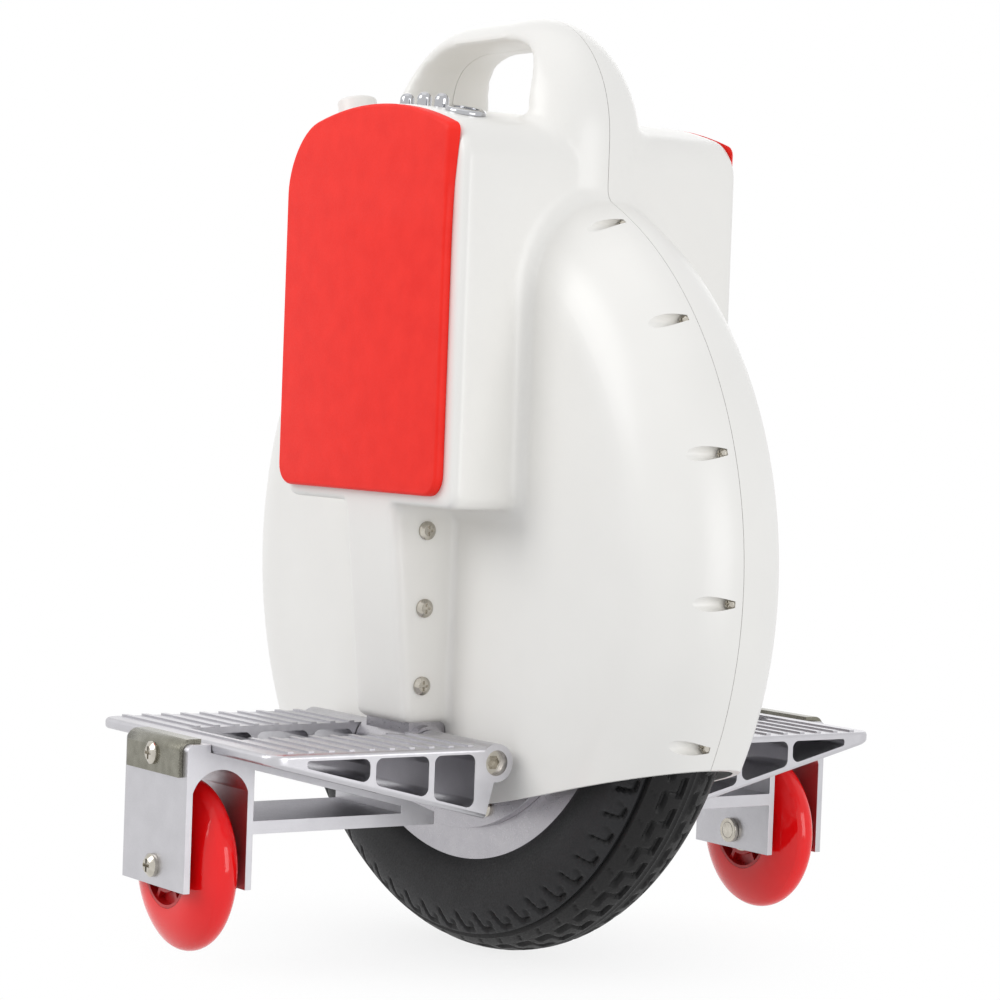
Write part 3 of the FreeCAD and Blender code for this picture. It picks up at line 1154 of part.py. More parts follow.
sink_pattern = body("sink_pattern")
sink_sketch = sketch(sink_pattern, "XY_Plane", "sink_low")
sink_back = f"({BOX_INSIDE} - sink_depth)"
outline(sink_sketch, [("-sink_half", sink_back), ("sink_half", sink_back), ("sink_half", BOX_INSIDE),
                      ("-sink_half", BOX_INSIDE)])
pad(sink_pattern, sink_sketch, "sink_height")
fins = sketch(sink_pattern, "XY_Plane")
for place in range(int(value("2 * sink_half / fin_pitch"))):
    fin_side = f"(-sink_half + fin_width / 2 + {place} * fin_pitch)"
    outline(fins, [(fin_side, f"{BOX_INSIDE} - fin_depth"), (f"{fin_side} + fin_width", f"{BOX_INSIDE} - fin_depth"),
                   (f"{fin_side} + fin_width", "box_reach"), (fin_side, "box_reach")])
pocket(sink_pattern, fins)
heat_sink = mirrored("heat_sink", sink_pattern)

board_back = f"({sink_back} - seat_gap - board_thickness)"
board_sheet = block("board_sheet", "-board_half", "2 * board_half", board_back, "board_thickness",
                    "board_low", "board_height")
cable_line = f"({AXLE_END} + cable_bend)"
plug_face = f"({board_back} + board_thickness / 2)"
board_plug = block("board_plug", "-plug_half", "2 * plug_half", plug_face,
                   f"{cable_line} + cable_radius + seat_gap - {plug_face}", "board_low", "plug_height")
board_pattern = united("board_pattern", [board_sheet, board_plug])
control_board = mirrored("control_board", board_pattern)

# Motor cable: out of the axle's right end, up through the column, into the plug under the control board
axle_middle = value(AXLE_HEIGHT)
bend = value("cable_bend")
exit_line = -value(AXLE_END)
up_line = -value(cable_line)
start = V(0, exit_line + value("cable_depth"), axle_middle)
turn_start = V(0, exit_line, axle_middle)
turn_middle = V(0, exit_line - bend * math.sin(math.pi / 4), axle_middle + bend * (1 - math.cos(math.pi / 4)))
turn_end = V(0, up_line, axle_middle + bend)
cable_top = V(0, up_line, value("board_low"))
route = Part.Wire([Part.LineSegment(start, turn_start).toShape(),
                   Part.Arc(turn_start, turn_middle, turn_end).toShape(),
                   Part.LineSegment(turn_end, cable_top).toShape()])
section = Part.Wire([Part.Circle(start, V(0, 1, 0), value("cable_radius")).toShape()])
motor_cable = doc.addObject("Part::Feature", "motor_cable")
motor_cable.Label = "motor_cable"
motor_cable.Shape = route.makePipeShell([section], True, False)

NODES = [
    left_half_shell, right_half_shell, left_side_pad, right_side_pad, left_hanger, right_hanger,
    left_hinge_bush, right_hinge_bush, axle, axle_spacers, axle_washers, axle_nuts, stator, windings,
    seam_screws, column_screws, left_inner_cover, right_inner_cover, battery_pack, heat_sink, control_board,
    motor_cable, button_bezel, power_button, indicator_lamps, charge_socket, charge_cap,
    rim, magnet_ring, left_motor_cover, right_motor_cover, cover_screws, hub_bearings, tyre, inner_tube,
    left_pedal, left_hinge_pin, left_bracket, left_clip, left_clip_screw, left_roller_bolt, left_roller_nut,
    right_pedal, right_hinge_pin, right_bracket, right_clip, right_clip_screw, right_roller_bolt, right_roller_nut,
    left_roller_tyre, left_roller_hub, left_roller_bearings,
    right_roller_tyre, right_roller_hub, right_roller_bearings,
]

doc.recompute()
for item in doc.Objects:
    if "Invalid" in item.State or "Error" in item.State:
        raise RuntimeError(f"{item.Label} failed: {item.State}")
os.makedirs("parts", exist_ok=True)
for node in NODES:
    if node.Shape.isNull() or not node.Shape.isValid() or not node.Shape.Solids:
        raise RuntimeError(f"{node.Label} has no sound solid")
    node.Shape.exportStep(os.path.join("parts", f"{node.Label}.step"))
    reach = node.Shape.optimalBoundingBox()
    print(f"{node.Label}: {len(node.Shape.Solids)} solid, {node.Shape.Volume / 1000:.1f} cm3, x {reach.XMin:.1f} "
          f"{reach.XMax:.1f}, y {reach.YMin:.1f} {reach.YMax:.1f}, z {reach.ZMin:.1f} {reach.ZMax:.1f}")
print(len(NODES), "nodes written")
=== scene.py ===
# %% [markdown]
# An electric unicycle with stabiliser rollers, dressed for a studio picture. The engineering
# model comes in first as a fixed frame. Every piece added below sits where that frame says, and
# rides on one of its bodies: it is parented to an empty that stands for that body.

# %% Load the frame
import math
import bpy
import numpy as np
from mathutils import Matrix, Vector


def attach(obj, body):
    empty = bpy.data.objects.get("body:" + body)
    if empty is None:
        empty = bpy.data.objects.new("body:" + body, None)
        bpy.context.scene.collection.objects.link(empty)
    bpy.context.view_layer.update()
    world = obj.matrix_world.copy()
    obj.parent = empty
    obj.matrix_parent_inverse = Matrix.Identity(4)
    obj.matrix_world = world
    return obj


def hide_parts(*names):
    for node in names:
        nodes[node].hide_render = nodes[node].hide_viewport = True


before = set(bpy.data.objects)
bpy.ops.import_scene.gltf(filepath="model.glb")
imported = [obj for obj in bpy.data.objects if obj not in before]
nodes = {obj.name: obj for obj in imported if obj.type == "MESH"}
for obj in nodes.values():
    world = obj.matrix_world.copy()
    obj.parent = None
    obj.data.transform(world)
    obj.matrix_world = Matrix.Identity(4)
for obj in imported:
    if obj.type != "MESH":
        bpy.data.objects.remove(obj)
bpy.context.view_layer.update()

# %% [markdown]
# The picture was taken almost level, from in front and to the right, with a long lens and the
# camera tipped by two degrees. A camera is placed by its own axes: right, up and backwards. They
# are worked out from the two angles of view, and the tip is a turn of the first two about the third.

# %% Camera
TURN, LIFT, DISTANCE, ROLL = 55.83, 1.934, 1537.4, math.radians(2.105)
AIM_HEIGHT, AIM_TURN, AIM_LIFT = 220, 0.04, 0.12
SENSOR, FOCAL_PIXELS, PICTURE = 36.0, 3176.0, 1000


def mm(*sizes):
    """Millimetres as metres."""
    metres = tuple(size / 1000 for size in sizes)
    return metres[0] if len(metres) == 1 else metres


def backwards(turn, lift):
    """Unit vector from the object towards a camera at these two angles, in degrees."""
    turn, lift = math.radians(turn), math.radians(lift)
    return Vector((math.sin(turn) * math.cos(lift), -math.cos(turn) * math.cos(lift), math.sin(lift)))


place = Vector(mm(0, 0, AIM_HEIGHT)) + backwards(TURN, LIFT) * mm(DISTANCE)
back = backwards(TURN + AIM_TURN, LIFT + AIM_LIFT)
level = Vector((0, 0, 1)).cross(back).normalized()
upright = back.cross(level)
right = math.cos(ROLL) * level + math.sin(ROLL) * upright
up = -math.sin(ROLL) * level + math.cos(ROLL) * upright
lens = bpy.data.cameras.new("camera")
lens.sensor_width = SENSOR
lens.lens = SENSOR * FOCAL_PIXELS / PICTURE
camera = bpy.data.objects.new("camera", lens)
bpy.context.scene.collection.objects.link(camera)
camera.matrix_world = Matrix.Translation(place) @ Matrix((right, up, back)).transposed().to_4x4()
bpy.context.scene.camera = camera
print("camera at", [round(axis, 3) for axis in place], "with a lens of", round(lens.lens, 1), "mm")

# %% [markdown]
# A few small tools for modelling by hand. A primitive is settled so that its place is in its mesh,
# then opened in edit mode with only the chosen points, edges or faces selected. A modifier is
# added and applied at once, so that the finished piece is plain mesh.

# %% Modelling tools
LYING, FACING, NEAR = (math.pi / 2, 0, 0), 0.9, 0.1


def fresh():
    """Object mode with nothing selected."""
    if bpy.context.object and bpy.context.object.mode != "OBJECT":
        bpy.ops.object.mode_set(mode="OBJECT")
    bpy.ops.object.select_all(action="DESELECT")


def pick(piece):
    """Object mode with only this piece selected."""
    fresh()
    piece.select_set(True)
    bpy.context.view_layer.objects.active = piece


def settle(name):
    """Names the new primitive and puts its place, turn and scale into its mesh."""
    piece = bpy.context.object
    piece.name = piece.data.name = name
    bpy.ops.object.transform_apply(location=True, rotation=True, scale=True)
    return piece


def every(item):
    """Test that all points, edges and faces pass."""
    return True


def shape(piece, kind, chosen):
    """Edit mode with only the chosen points, edges or faces of a piece selected."""
    pick(piece)
    bpy.ops.object.mode_set(mode="EDIT")
    bpy.ops.mesh.select_mode(type=kind)
    bpy.ops.mesh.select_all(action="DESELECT")
    bpy.ops.object.mode_set(mode="OBJECT")
    items = {"VERT": piece.data.vertices, "EDGE": piece.data.edges, "FACE": piece.data.polygons}[kind]
    for item in items:
        item.select = bool(chosen(item))
    bpy.ops.object.mode_set(mode="EDIT")


def ends(piece, edge):
    """The two ends of an edge, in millimetres."""
    return [piece.data.vertices[index].co * 1000 for index in edge.vertices]


def soften(piece, chosen, width, steps):
    """Rounds the chosen edges."""
    shape(piece, "EDGE", chosen)
    bpy.ops.mesh.bevel(offset=mm(width), segments=steps, affect="EDGES", clamp_overlap=False)
    bpy.ops.object.mode_set(mode="OBJECT")


def rim_of_sides(piece):
    """Test for the edges round the faces that look along Y."""
    sides = {}
    for face in piece.data.polygons:
        for key in face.edge_keys:
            sides.setdefault(key, set()).add(abs(face.normal.y) > FACING)
    return lambda edge: len(sides[edge.key]) == 2


def modify(piece, kind, **settings):
    """Adds a modifier and applies it."""
    pick(piece)
    modifier = piece.modifiers.new(kind, kind)
    for name, value in settings.items():
        setattr(modifier, name, value)
    bpy.ops.object.modifier_apply(modifier=modifier.name)


def combine(piece, tool, operation):
    """Joins, cuts or meets a closed mesh with another, which is used up."""
    modify(piece, "BOOLEAN", object=tool, operation=operation, solver="MANIFOLD")
    bpy.data.objects.remove(tool)


# %% [markdown]
# Pieces come in pairs, so there is a tool for a copy and one for a mirror image. A finished piece
# is shaded smooth up to an angle, parented to the body it rides on, and the node of the frame that it
# stands for is hidden. It is noted with what it is made of, so that its material can be laid on later.

# %% Pairs and finished pieces
finished = []


def duplicate(piece, name):
    """A copy with a mesh of its own."""
    twin = piece.copy()
    twin.data = piece.data.copy()
    twin.name = twin.data.name = name
    bpy.context.scene.collection.objects.link(twin)
    return twin


def mirror_image(piece, name):
    """A copy on the other side of the middle plane."""
    twin = duplicate(piece, name)
    shape(twin, "FACE", every)
    bpy.ops.transform.mirror(constraint_axis=(False, True, False), center_override=(0, 0, 0))
    bpy.ops.mesh.normals_make_consistent(inside=False)
    bpy.ops.object.mode_set(mode="OBJECT")
    return twin


def hand_over(piece, crease, body, node, kind):
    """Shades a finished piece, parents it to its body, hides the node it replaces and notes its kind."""
    pick(piece)
    bpy.ops.object.shade_smooth_by_angle(angle=math.radians(crease))
    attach(piece, body)
    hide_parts(node)
    finished.append((piece, kind))
    print(piece.name, len(piece.data.polygons), "faces")


# %% [markdown]
# Both half shells are injection moulded. Their outside is one flowing form: a wheel dome with a
# round rim, a side box with an arched top, a column down to the pedal hinge, and the carry handle.
# The first three start as primitives with rounded edges.

# %% Outer forms of the shell
DOME_HEIGHT, DOME_RADIUS, DOME_HALF, DOME_ROUND = 187, 189.5, 40.5, 40
BOX_HALF, BOX_SIDE, BOX_FLOOR, BOX_CROWN, BOX_ARCH = 75, 77.5, 215, 402, 208
BOX_TOP_ROUND, BOX_LOW_ROUND, BOX_RIM_ROUND, ARCH_CUTS = 14, 6, 3.5, 31
COLUMN_HALF, COLUMN_FOOT, COLUMN_TOP, COLUMN_REACH, COLUMN_ROUND = 22, 112, 222, 66, 4


def dome(name, radius, half, nose):
    """A disc about the wheel with a round rim."""
    fresh()
    bpy.ops.mesh.primitive_cylinder_add(vertices=240, radius=mm(radius), depth=mm(2 * half),
                                        location=mm(0, 0, DOME_HEIGHT), rotation=LYING)
    piece = settle(name)
    soften(piece, rim_of_sides(piece), nose, 20)
    return piece


def arch_fall(x):
    """How far the box's arched top lies below its crown, at a distance along X, in metres."""
    return mm(BOX_ARCH - math.sqrt(BOX_ARCH ** 2 - (x * 1000) ** 2))


def arched_block(name, half, side, low, crown, top_round, low_round):
    """A block across the middle plane with round corners, whose top arches along X."""
    fresh()
    middle = (low + crown) / 2
    bpy.ops.mesh.primitive_cube_add(size=1, location=mm(0, 0, middle),
                                    scale=mm(2 * half, 2 * side, crown - low))
    piece = settle(name)

    def along_y(edge, high):
        a, b = ends(piece, edge)
        return abs(a.y - b.y) > 1 and (a.z > middle) == high

    def at_foot(edge):
        return along_y(edge, False) and abs(ends(piece, edge)[0].z - low) < NEAR

    def along_top(edge):
        a, b = ends(piece, edge)
        return min(a.z, b.z) > crown - NEAR and abs(a.x - b.x) > half

    soften(piece, lambda edge: along_y(edge, True), top_round, 8)
    soften(piece, at_foot, low_round, 5)
    shape(piece, "EDGE", along_top)
    bpy.ops.mesh.subdivide(number_cuts=ARCH_CUTS)
    bpy.ops.object.mode_set(mode="OBJECT")
    for point in piece.data.vertices:
        if point.co.z > mm(middle):
            point.co.z -= arch_fall(point.co.x)
    return piece


def column(name, half, foot, foot_reach, top_reach, top):
    """A pillar that leans out as it rises, on both sides at once."""
    fresh()
    middle = (foot + top) / 2
    bpy.ops.mesh.primitive_cube_add(size=1, location=mm(0, 0, middle),
                                    scale=mm(2 * half, 2 * top_reach, top - foot))
    piece = settle(name)
    shape(piece, "VERT", lambda point: point.co.z < mm(middle))
    bpy.ops.transform.resize(value=(1, foot_reach / top_reach, 1))
    bpy.ops.object.mode_set(mode="OBJECT")
    return piece


shell = dome("shell", DOME_RADIUS, DOME_HALF, DOME_ROUND)
box = arched_block("box", BOX_HALF, BOX_SIDE, BOX_FLOOR, BOX_CROWN, BOX_TOP_ROUND, BOX_LOW_ROUND)
soften(box, rim_of_sides(box), BOX_RIM_ROUND, 6)
pillar = column("pillar", COLUMN_HALF, COLUMN_FOOT, COLUMN_REACH, BOX_SIDE, COLUMN_TOP)
soften(pillar, every, COLUMN_ROUND, 4)
print("outer forms:", [len(piece.data.polygons) for piece in (shell, box, pillar)], "faces")

# %% [markdown]
# The carry handle is a soft arch over a finger gap. A ring in the outline of the arch is drawn out to
# one side in steps that shrink as they go, which gives the round back that the palm feels, and the
# other side is its mirror image. The gap is a plug made the same way, but it grows as it goes, so
# that its edges open like the mouth of a bell. The plug is cut out, and the form is remeshed and
# relaxed, so that nothing is left to press the fingers.

# %% Carry handle
SHOULDER, SHOULDER_FRONT, SHOULDER_BACK, SHOULDER_HEIGHT = 60.8, 17, -25, 387
GRIP_HALF, GRIP_ROUND, GRIP_SPREAD, GRIP_VOXEL, GRIP_RELAX = 26, 24, 0.003, 1.6, 44
GAP_ROUND, GAP_FRONT, GAP_BACK, GAP_FLOOR, GAP_MOUTH, GAP_CORNER = 46.5, 46, -60, 393, 5, 20


def arch(name, radius):
    """A ring in the middle plane with two round shoulders and straight legs."""
    fresh()
    bpy.ops.mesh.primitive_circle_add(vertices=160, radius=mm(radius), rotation=LYING,
                                      location=mm(0, 0, SHOULDER_HEIGHT))
    piece = settle(name)
    for point in piece.data.vertices:
        if point.co.z < mm(SHOULDER_HEIGHT):
            point.co.x = math.copysign(mm(radius), point.co.x)
        point.co.x += mm(SHOULDER_FRONT if point.co.x > 0 else SHOULDER_BACK)
    return piece


def draw_out(piece, steps, middle, span, rise):
    """Draws a ring out to both sides, in steps of how far it goes and how much it grows."""
    shape(piece, "EDGE", every)
    bpy.ops.mesh.remove_doubles(threshold=mm(0.01))
    reach, growth = 0, 0
    for further, larger in steps:
        bpy.ops.mesh.extrude_region_move(TRANSFORM_OT_translate={"value": mm(0, reach - further, 0)})
        wider = (span + larger) / (span + growth)
        taller = (rise + larger) / (rise + growth)
        bpy.ops.transform.resize(value=(wider, 1, taller), center_override=mm(*middle))
        reach, growth = further, larger
    bpy.ops.mesh.edge_face_add()
    bpy.ops.object.mode_set(mode="OBJECT")
    modify(piece, "MIRROR", use_axis=(False, True, False), use_mirror_merge=True, merge_threshold=mm(0.01))
    shape(piece, "FACE", every)
    bpy.ops.mesh.normals_make_consistent(inside=False)
    bpy.ops.object.mode_set(mode="OBJECT")


turns = [math.radians(turn) for turn in range(10, 91, 10)]
grip = arch("grip", SHOULDER)
draw_out(grip, [(GRIP_HALF * math.sin(turn), -GRIP_ROUND * (1 - math.cos(turn))) for turn in turns],
         ((SHOULDER_FRONT + SHOULDER_BACK) / 2, 0, SHOULDER_HEIGHT),
         SHOULDER + (SHOULDER_FRONT - SHOULDER_BACK) / 2, SHOULDER)
for point in grip.data.vertices:
    point.co.y *= 1 + GRIP_SPREAD * (SHOULDER_HEIGHT + SHOULDER - point.co.z * 1000)
gap = arch("gap", GAP_ROUND)
for point in gap.data.vertices:
    end = mm(GAP_FRONT if point.co.x > 0 else GAP_BACK)
    bend = math.copysign(mm(GAP_CORNER), end)
    past = (point.co.x - end + bend) / bend
    if past > 0:
        point.co.x = end - bend + bend * math.tanh(past)
    point.co.z = max(mm(GAP_FLOOR), point.co.z)
mouth = [(GRIP_HALF * math.sin(turn), GAP_MOUTH * (1 - math.cos(turn))) for turn in turns]
draw_out(gap, mouth + [(2 * GRIP_HALF, GAP_MOUTH)], ((GAP_FRONT + GAP_BACK) / 2, 0, GAP_FLOOR),
         (GAP_FRONT - GAP_BACK) / 2, SHOULDER_HEIGHT + GAP_ROUND - GAP_FLOOR)
combine(grip, gap, "DIFFERENCE")
modify(grip, "REMESH", mode="VOXEL", voxel_size=mm(GRIP_VOXEL))
modify(grip, "SMOOTH", factor=0.5, iterations=GRIP_RELAX)
print("handle:", len(grip.data.polygons), "faces")

# %% [markdown]
# In the mould the four forms run into each other through soft hollows, which a plain union leaves
# as creases. The union is remeshed to even small faces, the points that lie in a hollow are
# found by comparing each with its neighbours, and only those are relaxed, the column's less than
# the rest. The outer edges stay crisp. A last light pass takes the grain of the remesh off.

# %% Flowing outside
SHELL_VOXEL, SHELL_RELAX, HOLLOW_RELAX, COLUMN_SHARE = 1.7, 4, 90, 0.12
HOLLOW_DEPTH, HOLLOW_RINGS, HOLLOW_FADE, HOLLOW_GAIN = 0.12, 9, 0.96, 1.15
for tool in (box, pillar, grip):
    combine(shell, tool, "UNION")
modify(shell, "REMESH", mode="VOXEL", voxel_size=mm(SHELL_VOXEL))


def read(items, name, width, kind):
    """One property of all points or edges as an array."""
    flat = np.empty(len(items) * width, kind)
    items.foreach_get(name, flat)
    return flat.reshape(-1, width)


points = read(shell.data.vertices, "co", 3, np.float64)
normals = read(shell.data.vertices, "normal", 3, np.float64)
pairs = read(shell.data.edges, "vertices", 2, np.int64)
links = np.bincount(pairs.ravel(), minlength=len(points))


def around(values):
    """Mean of each point's neighbours."""
    total = np.zeros_like(values)
    np.add.at(total, pairs[:, 0], values[pairs[:, 1]])
    np.add.at(total, pairs[:, 1], values[pairs[:, 0]])
    return total / (links[:, None] if values.ndim == 2 else links)


hollow = ((around(points) - points) * normals).sum(1) > mm(HOLLOW_DEPTH)
weight = hollow.astype(float)
for number in range(HOLLOW_RINGS):
    weight = np.maximum(weight, around(weight) * HOLLOW_FADE)
weight = np.clip(weight * HOLLOW_GAIN, 0, 1)
weight[points[:, 2] < mm(BOX_FLOOR - 6)] *= COLUMN_SHARE
group = shell.vertex_groups.new(name="hollow")
for step in range(1, 11):
    chosen = np.flatnonzero(np.round(weight * 10).astype(int) == step)
    group.add(chosen.tolist(), step / 10, "REPLACE")
modify(shell, "SMOOTH", factor=0.5, iterations=HOLLOW_RELAX, vertex_group="hollow")
modify(shell, "SMOOTH", factor=0.5, iterations=SHELL_RELAX)
print("flowing outside:", len(shell.data.polygons), "faces,", int(hollow.sum()), "points in hollows")

# %% [markdown]
# Inside, the shell is hollow and open below for the wheel, with three millimetres of wall. Beside
# the seam the right half has long scoops for its screws, and a boss behind each keeps the wall
# whole. The hollow is built as a solid core, as in the mould, and the bosses are cut out of it.

# %% Hollow inside
WALL, HOLLOW_FOOT, HOLLOW_REACH = 3, 105, 62
SCREW_CIRCLE, FIRST_SCREW, SCREW_PITCH, SCREWS = 186.3, 59, 20.3, 5
SCOOP_MIDDLE, SCOOP_RADIUS, SCOOP_LENGTH, BOSS_RADIUS, BOSS_LENGTH = -24, 3.3, 40, 4.6, 46


def rod(name, radius, length, middle, tilt):
    """A round bar, upright until it is tilted."""
    fresh()
    bpy.ops.mesh.primitive_cylinder_add(vertices=40, radius=mm(radius), depth=mm(length),
                                        location=mm(*middle), rotation=tilt)
    return settle(name)


core = dome("core", DOME_RADIUS - WALL, DOME_HALF - WALL, DOME_ROUND - WALL)
box_inside = arched_block("box_inside", BOX_HALF - WALL, BOX_SIDE - WALL, BOX_FLOOR + WALL,
                          BOX_CROWN - WALL, BOX_TOP_ROUND - WALL, BOX_LOW_ROUND - WALL)
combine(core, box_inside, "UNION")
column_inside = column("column_inside", COLUMN_HALF - WALL, HOLLOW_FOOT, HOLLOW_REACH,
                       BOX_SIDE - WALL, COLUMN_TOP)
combine(core, column_inside, "UNION")
scoops = []
for way in (1, -1):
    for number in range(SCREWS):
        angle = math.radians(FIRST_SCREW - number * SCREW_PITCH)
        scoops.append((way * SCREW_CIRCLE * math.cos(angle), SCOOP_MIDDLE,
                       DOME_HEIGHT + SCREW_CIRCLE * math.sin(angle)))
for middle in scoops:
    combine(core, rod("boss", BOSS_RADIUS, BOSS_LENGTH, middle, LYING), "DIFFERENCE")
combine(shell, core, "DIFFERENCE")
print("hollow inside:", len(shell.data.polygons), "faces")

# %% [markdown]
# The lower edge of the shell sweeps up towards the front and back, so a sheet bent to that line is
# thickened into a block and cut away. Then come the scoops, and the holes in the top for the
# button, the lamps and the charge socket. Cutting after the relaxing keeps all these edges sharp.

# %% Skirt, scoops and holes
SKIRT_HALF, SKIRT_LEVEL, SKIRT_LOW, SKIRT_RISE, SKIRT_RUN, SKIRT_BEND = 60, 44, 76, 24.5, 106, 1.12
SHEET_LENGTH, SHEET_TALL, SHEET_HEIGHT = 420, 60, 20
FITTING_LINE, BUTTON_ANGLE, SOCKET_ANGLE, LAMP_ANGLES = -60, 13, -13, (-1, 3.1, 7.2)
BUTTON_HOLE, SOCKET_HOLE, LAMP_HOLE, HOLE_LENGTH = 7.8, 7.3, 3.2, 14


def lower_edge(x):
    """Height of the shell's lower edge: level in the middle, then sweeping up."""
    run = max(0, abs(x) - SKIRT_LEVEL)
    return SKIRT_LOW + SKIRT_RISE * (run / SKIRT_RUN) ** SKIRT_BEND


def seat(angle):
    """A place on the right box's arched top, and the turn that stands a fitting up there."""
    turn = math.radians(angle)
    height = BOX_CROWN - BOX_ARCH + BOX_ARCH * math.cos(turn)
    return (BOX_ARCH * math.sin(turn), FITTING_LINE, height), (0, turn, 0)


fresh()
bpy.ops.mesh.primitive_grid_add(x_subdivisions=80, y_subdivisions=1, size=1, rotation=LYING,
                                location=mm(0, -SKIRT_HALF, SHEET_HEIGHT),
                                scale=mm(SHEET_LENGTH, SHEET_TALL, 1))
skirt = settle("skirt")
for point in skirt.data.vertices:
    if point.co.z > mm(SHEET_HEIGHT):
        point.co.z = mm(lower_edge(point.co.x * 1000))
shape(skirt, "FACE", every)
bpy.ops.mesh.extrude_region_move(TRANSFORM_OT_translate={"value": mm(0, 2 * SKIRT_HALF, 0)})
bpy.ops.mesh.select_all(action="SELECT")
bpy.ops.mesh.normals_make_consistent(inside=False)
bpy.ops.object.mode_set(mode="OBJECT")
combine(shell, skirt, "DIFFERENCE")
for middle in scoops:
    combine(shell, rod("scoop", SCOOP_RADIUS, SCOOP_LENGTH, middle, LYING), "DIFFERENCE")
holes = [(BUTTON_ANGLE, BUTTON_HOLE), (SOCKET_ANGLE, SOCKET_HOLE)]
holes += [(angle, LAMP_HOLE) for angle in LAMP_ANGLES]
for angle, radius in holes:
    combine(shell, rod("fitting_hole", radius, HOLE_LENGTH, *seat(angle)), "DIFFERENCE")
print("cut shell:", len(shell.data.polygons), "faces")

# %% [markdown]
# The two halves part at the middle plane. Each is what is left of a copy when everything past a
# hair's breadth from the seam is cut away, so that a fine dark line shows between them.

# %% Two half shells
SEAM, HALF_SPACE, HALF_SPACE_HEIGHT = 0.14, (440, 120, 420), 260
for side, way in (("left", 1), ("right", -1)):
    half = duplicate(shell, f"{side}_moulded_shell")
    fresh()
    bpy.ops.mesh.primitive_cube_add(size=1, scale=mm(*HALF_SPACE),
                                    location=mm(0, way * (SEAM + HALF_SPACE[1] / 2), HALF_SPACE_HEIGHT))
    combine(half, settle("half_space"), "INTERSECT")
    half.vertex_groups.clear()
    shape(half, "FACE", every)
    bpy.ops.mesh.remove_doubles(threshold=mm(0.005))
    bpy.ops.object.mode_set(mode="OBJECT")
    hand_over(half, 38, "chassis", f"{side}_half_shell", "moulded_shell")
bpy.data.objects.remove(shell)

# %% [markdown]
# The side pads are firm foam with a satin skin, cut from sheet and glued to the boxes. A block is
# split across so that its upper front corner can be drawn forwards into a horn. The corners are
# rounded, the top is arched like the box, the outer face is drawn back a little at the horn, and
# last the outer rim is rounded.

# %% Side pads
PAD_LOW, PAD_FLARE, PAD_CROWN, PAD_BACK, PAD_FRONT, PAD_HORN = 220.5, 350, 401.5, -75.5, 66, 70.5
PAD_MIDDLE, PAD_THICK, PAD_RIM, PAD_FACE = 79.85, 4.5, 1.8, 82
DRAW_BACK, DRAW_FROM, DRAW_RUN, DRAW_RISE, ARCH_FROM = 5, 20, 45, 38, 16
fresh()
middle = ((PAD_BACK + PAD_FRONT) / 2, PAD_MIDDLE, (PAD_LOW + PAD_CROWN) / 2)
bpy.ops.mesh.primitive_cube_add(size=1, location=mm(*middle),
                                scale=mm(PAD_FRONT - PAD_BACK, PAD_THICK, PAD_CROWN - PAD_LOW))
pad = settle("left_foam_pad")
shape(pad, "FACE", every)
bpy.ops.mesh.bisect(plane_co=mm(0, 0, PAD_FLARE), plane_no=(0, 0, 1))
bpy.ops.object.mode_set(mode="OBJECT")
for point in pad.data.vertices:
    if point.co.x > 0 and point.co.z > mm(PAD_CROWN - 1):
        point.co.x = mm(PAD_HORN)


def at_corner(x, z):
    """Test for the edge across the pad at one corner of its outline."""
    return lambda edge: all((end - Vector((x, end.y, z))).length < NEAR for end in ends(pad, edge))


def along_crown(edge):
    """Test for the long edges of the pad's top."""
    a, b = ends(pad, edge)
    return abs(a.x - b.x) > 60 and a.z > PAD_CROWN - NEAR


PAD_CORNERS = [(PAD_BACK, PAD_CROWN, 26, 12), (PAD_HORN, PAD_CROWN, 3, 4), (PAD_FRONT, PAD_FLARE, 14, 4),
               (PAD_BACK, PAD_LOW, 10, 7), (PAD_FRONT, PAD_LOW, 10, 7)]
for x, z, width, steps in PAD_CORNERS:
    soften(pad, at_corner(x, z), width, steps)
shape(pad, "EDGE", along_crown)
bpy.ops.mesh.subdivide(number_cuts=ARCH_CUTS)
bpy.ops.object.mode_set(mode="OBJECT")
for point in pad.data.vertices:
    if point.co.z > mm(PAD_FLARE + ARCH_FROM):
        point.co.z -= arch_fall(point.co.x)
    if point.co.y > mm(PAD_MIDDLE):
        forwards = max(0, min(1, (point.co.x * 1000 - DRAW_FROM) / DRAW_RUN))
        raised = max(0, min(1, (point.co.z * 1000 - PAD_FLARE) / DRAW_RISE))
        point.co.x -= mm(DRAW_BACK) * forwards * raised
rim = rim_of_sides(pad)
soften(pad, lambda edge: rim(edge) and min(end.y for end in ends(pad, edge)) > PAD_FACE, PAD_RIM, 5)
for side, cushion in (("left", pad), ("right", mirror_image(pad, "right_foam_pad"))):
    hand_over(cushion, 30, "chassis", f"{side}_side_pad", "side_pad")

# %% [markdown]
# The tyre is moulded rubber. Its round section is spun about the axle into a ring of small faces,
# and the tread is then pressed into the ring, as the mould does. From the crown outwards come a
# narrow groove, two rows of staggered slots with blocks between them, a plain rib with short fine
# cuts, a ring groove, and hooked notches on the shoulder. Only the tread needs small faces. Each
# pattern is a band across the tyre times a band round it, in millimetres.

# %% Tyre
AXLE, SECTION, PITCHES, STEPS, TREAD_ANGLE, THINNED = 177.5, 27, 66, 13, 82, 5
PITCH = 2 * math.pi * AXLE / PITCHES
fresh()
bpy.ops.mesh.primitive_circle_add(vertices=180, radius=mm(SECTION), rotation=(0, math.pi / 2, 0),
                                  location=mm(0, 0, 2 * AXLE - SECTION))
tyre = settle("moulded_tyre")


def section_angle(point):
    """Angle of a section point from the crown of the tread, in degrees."""
    return math.degrees(math.atan2(point.co.y * 1000, point.co.z * 1000 - 2 * AXLE + SECTION))


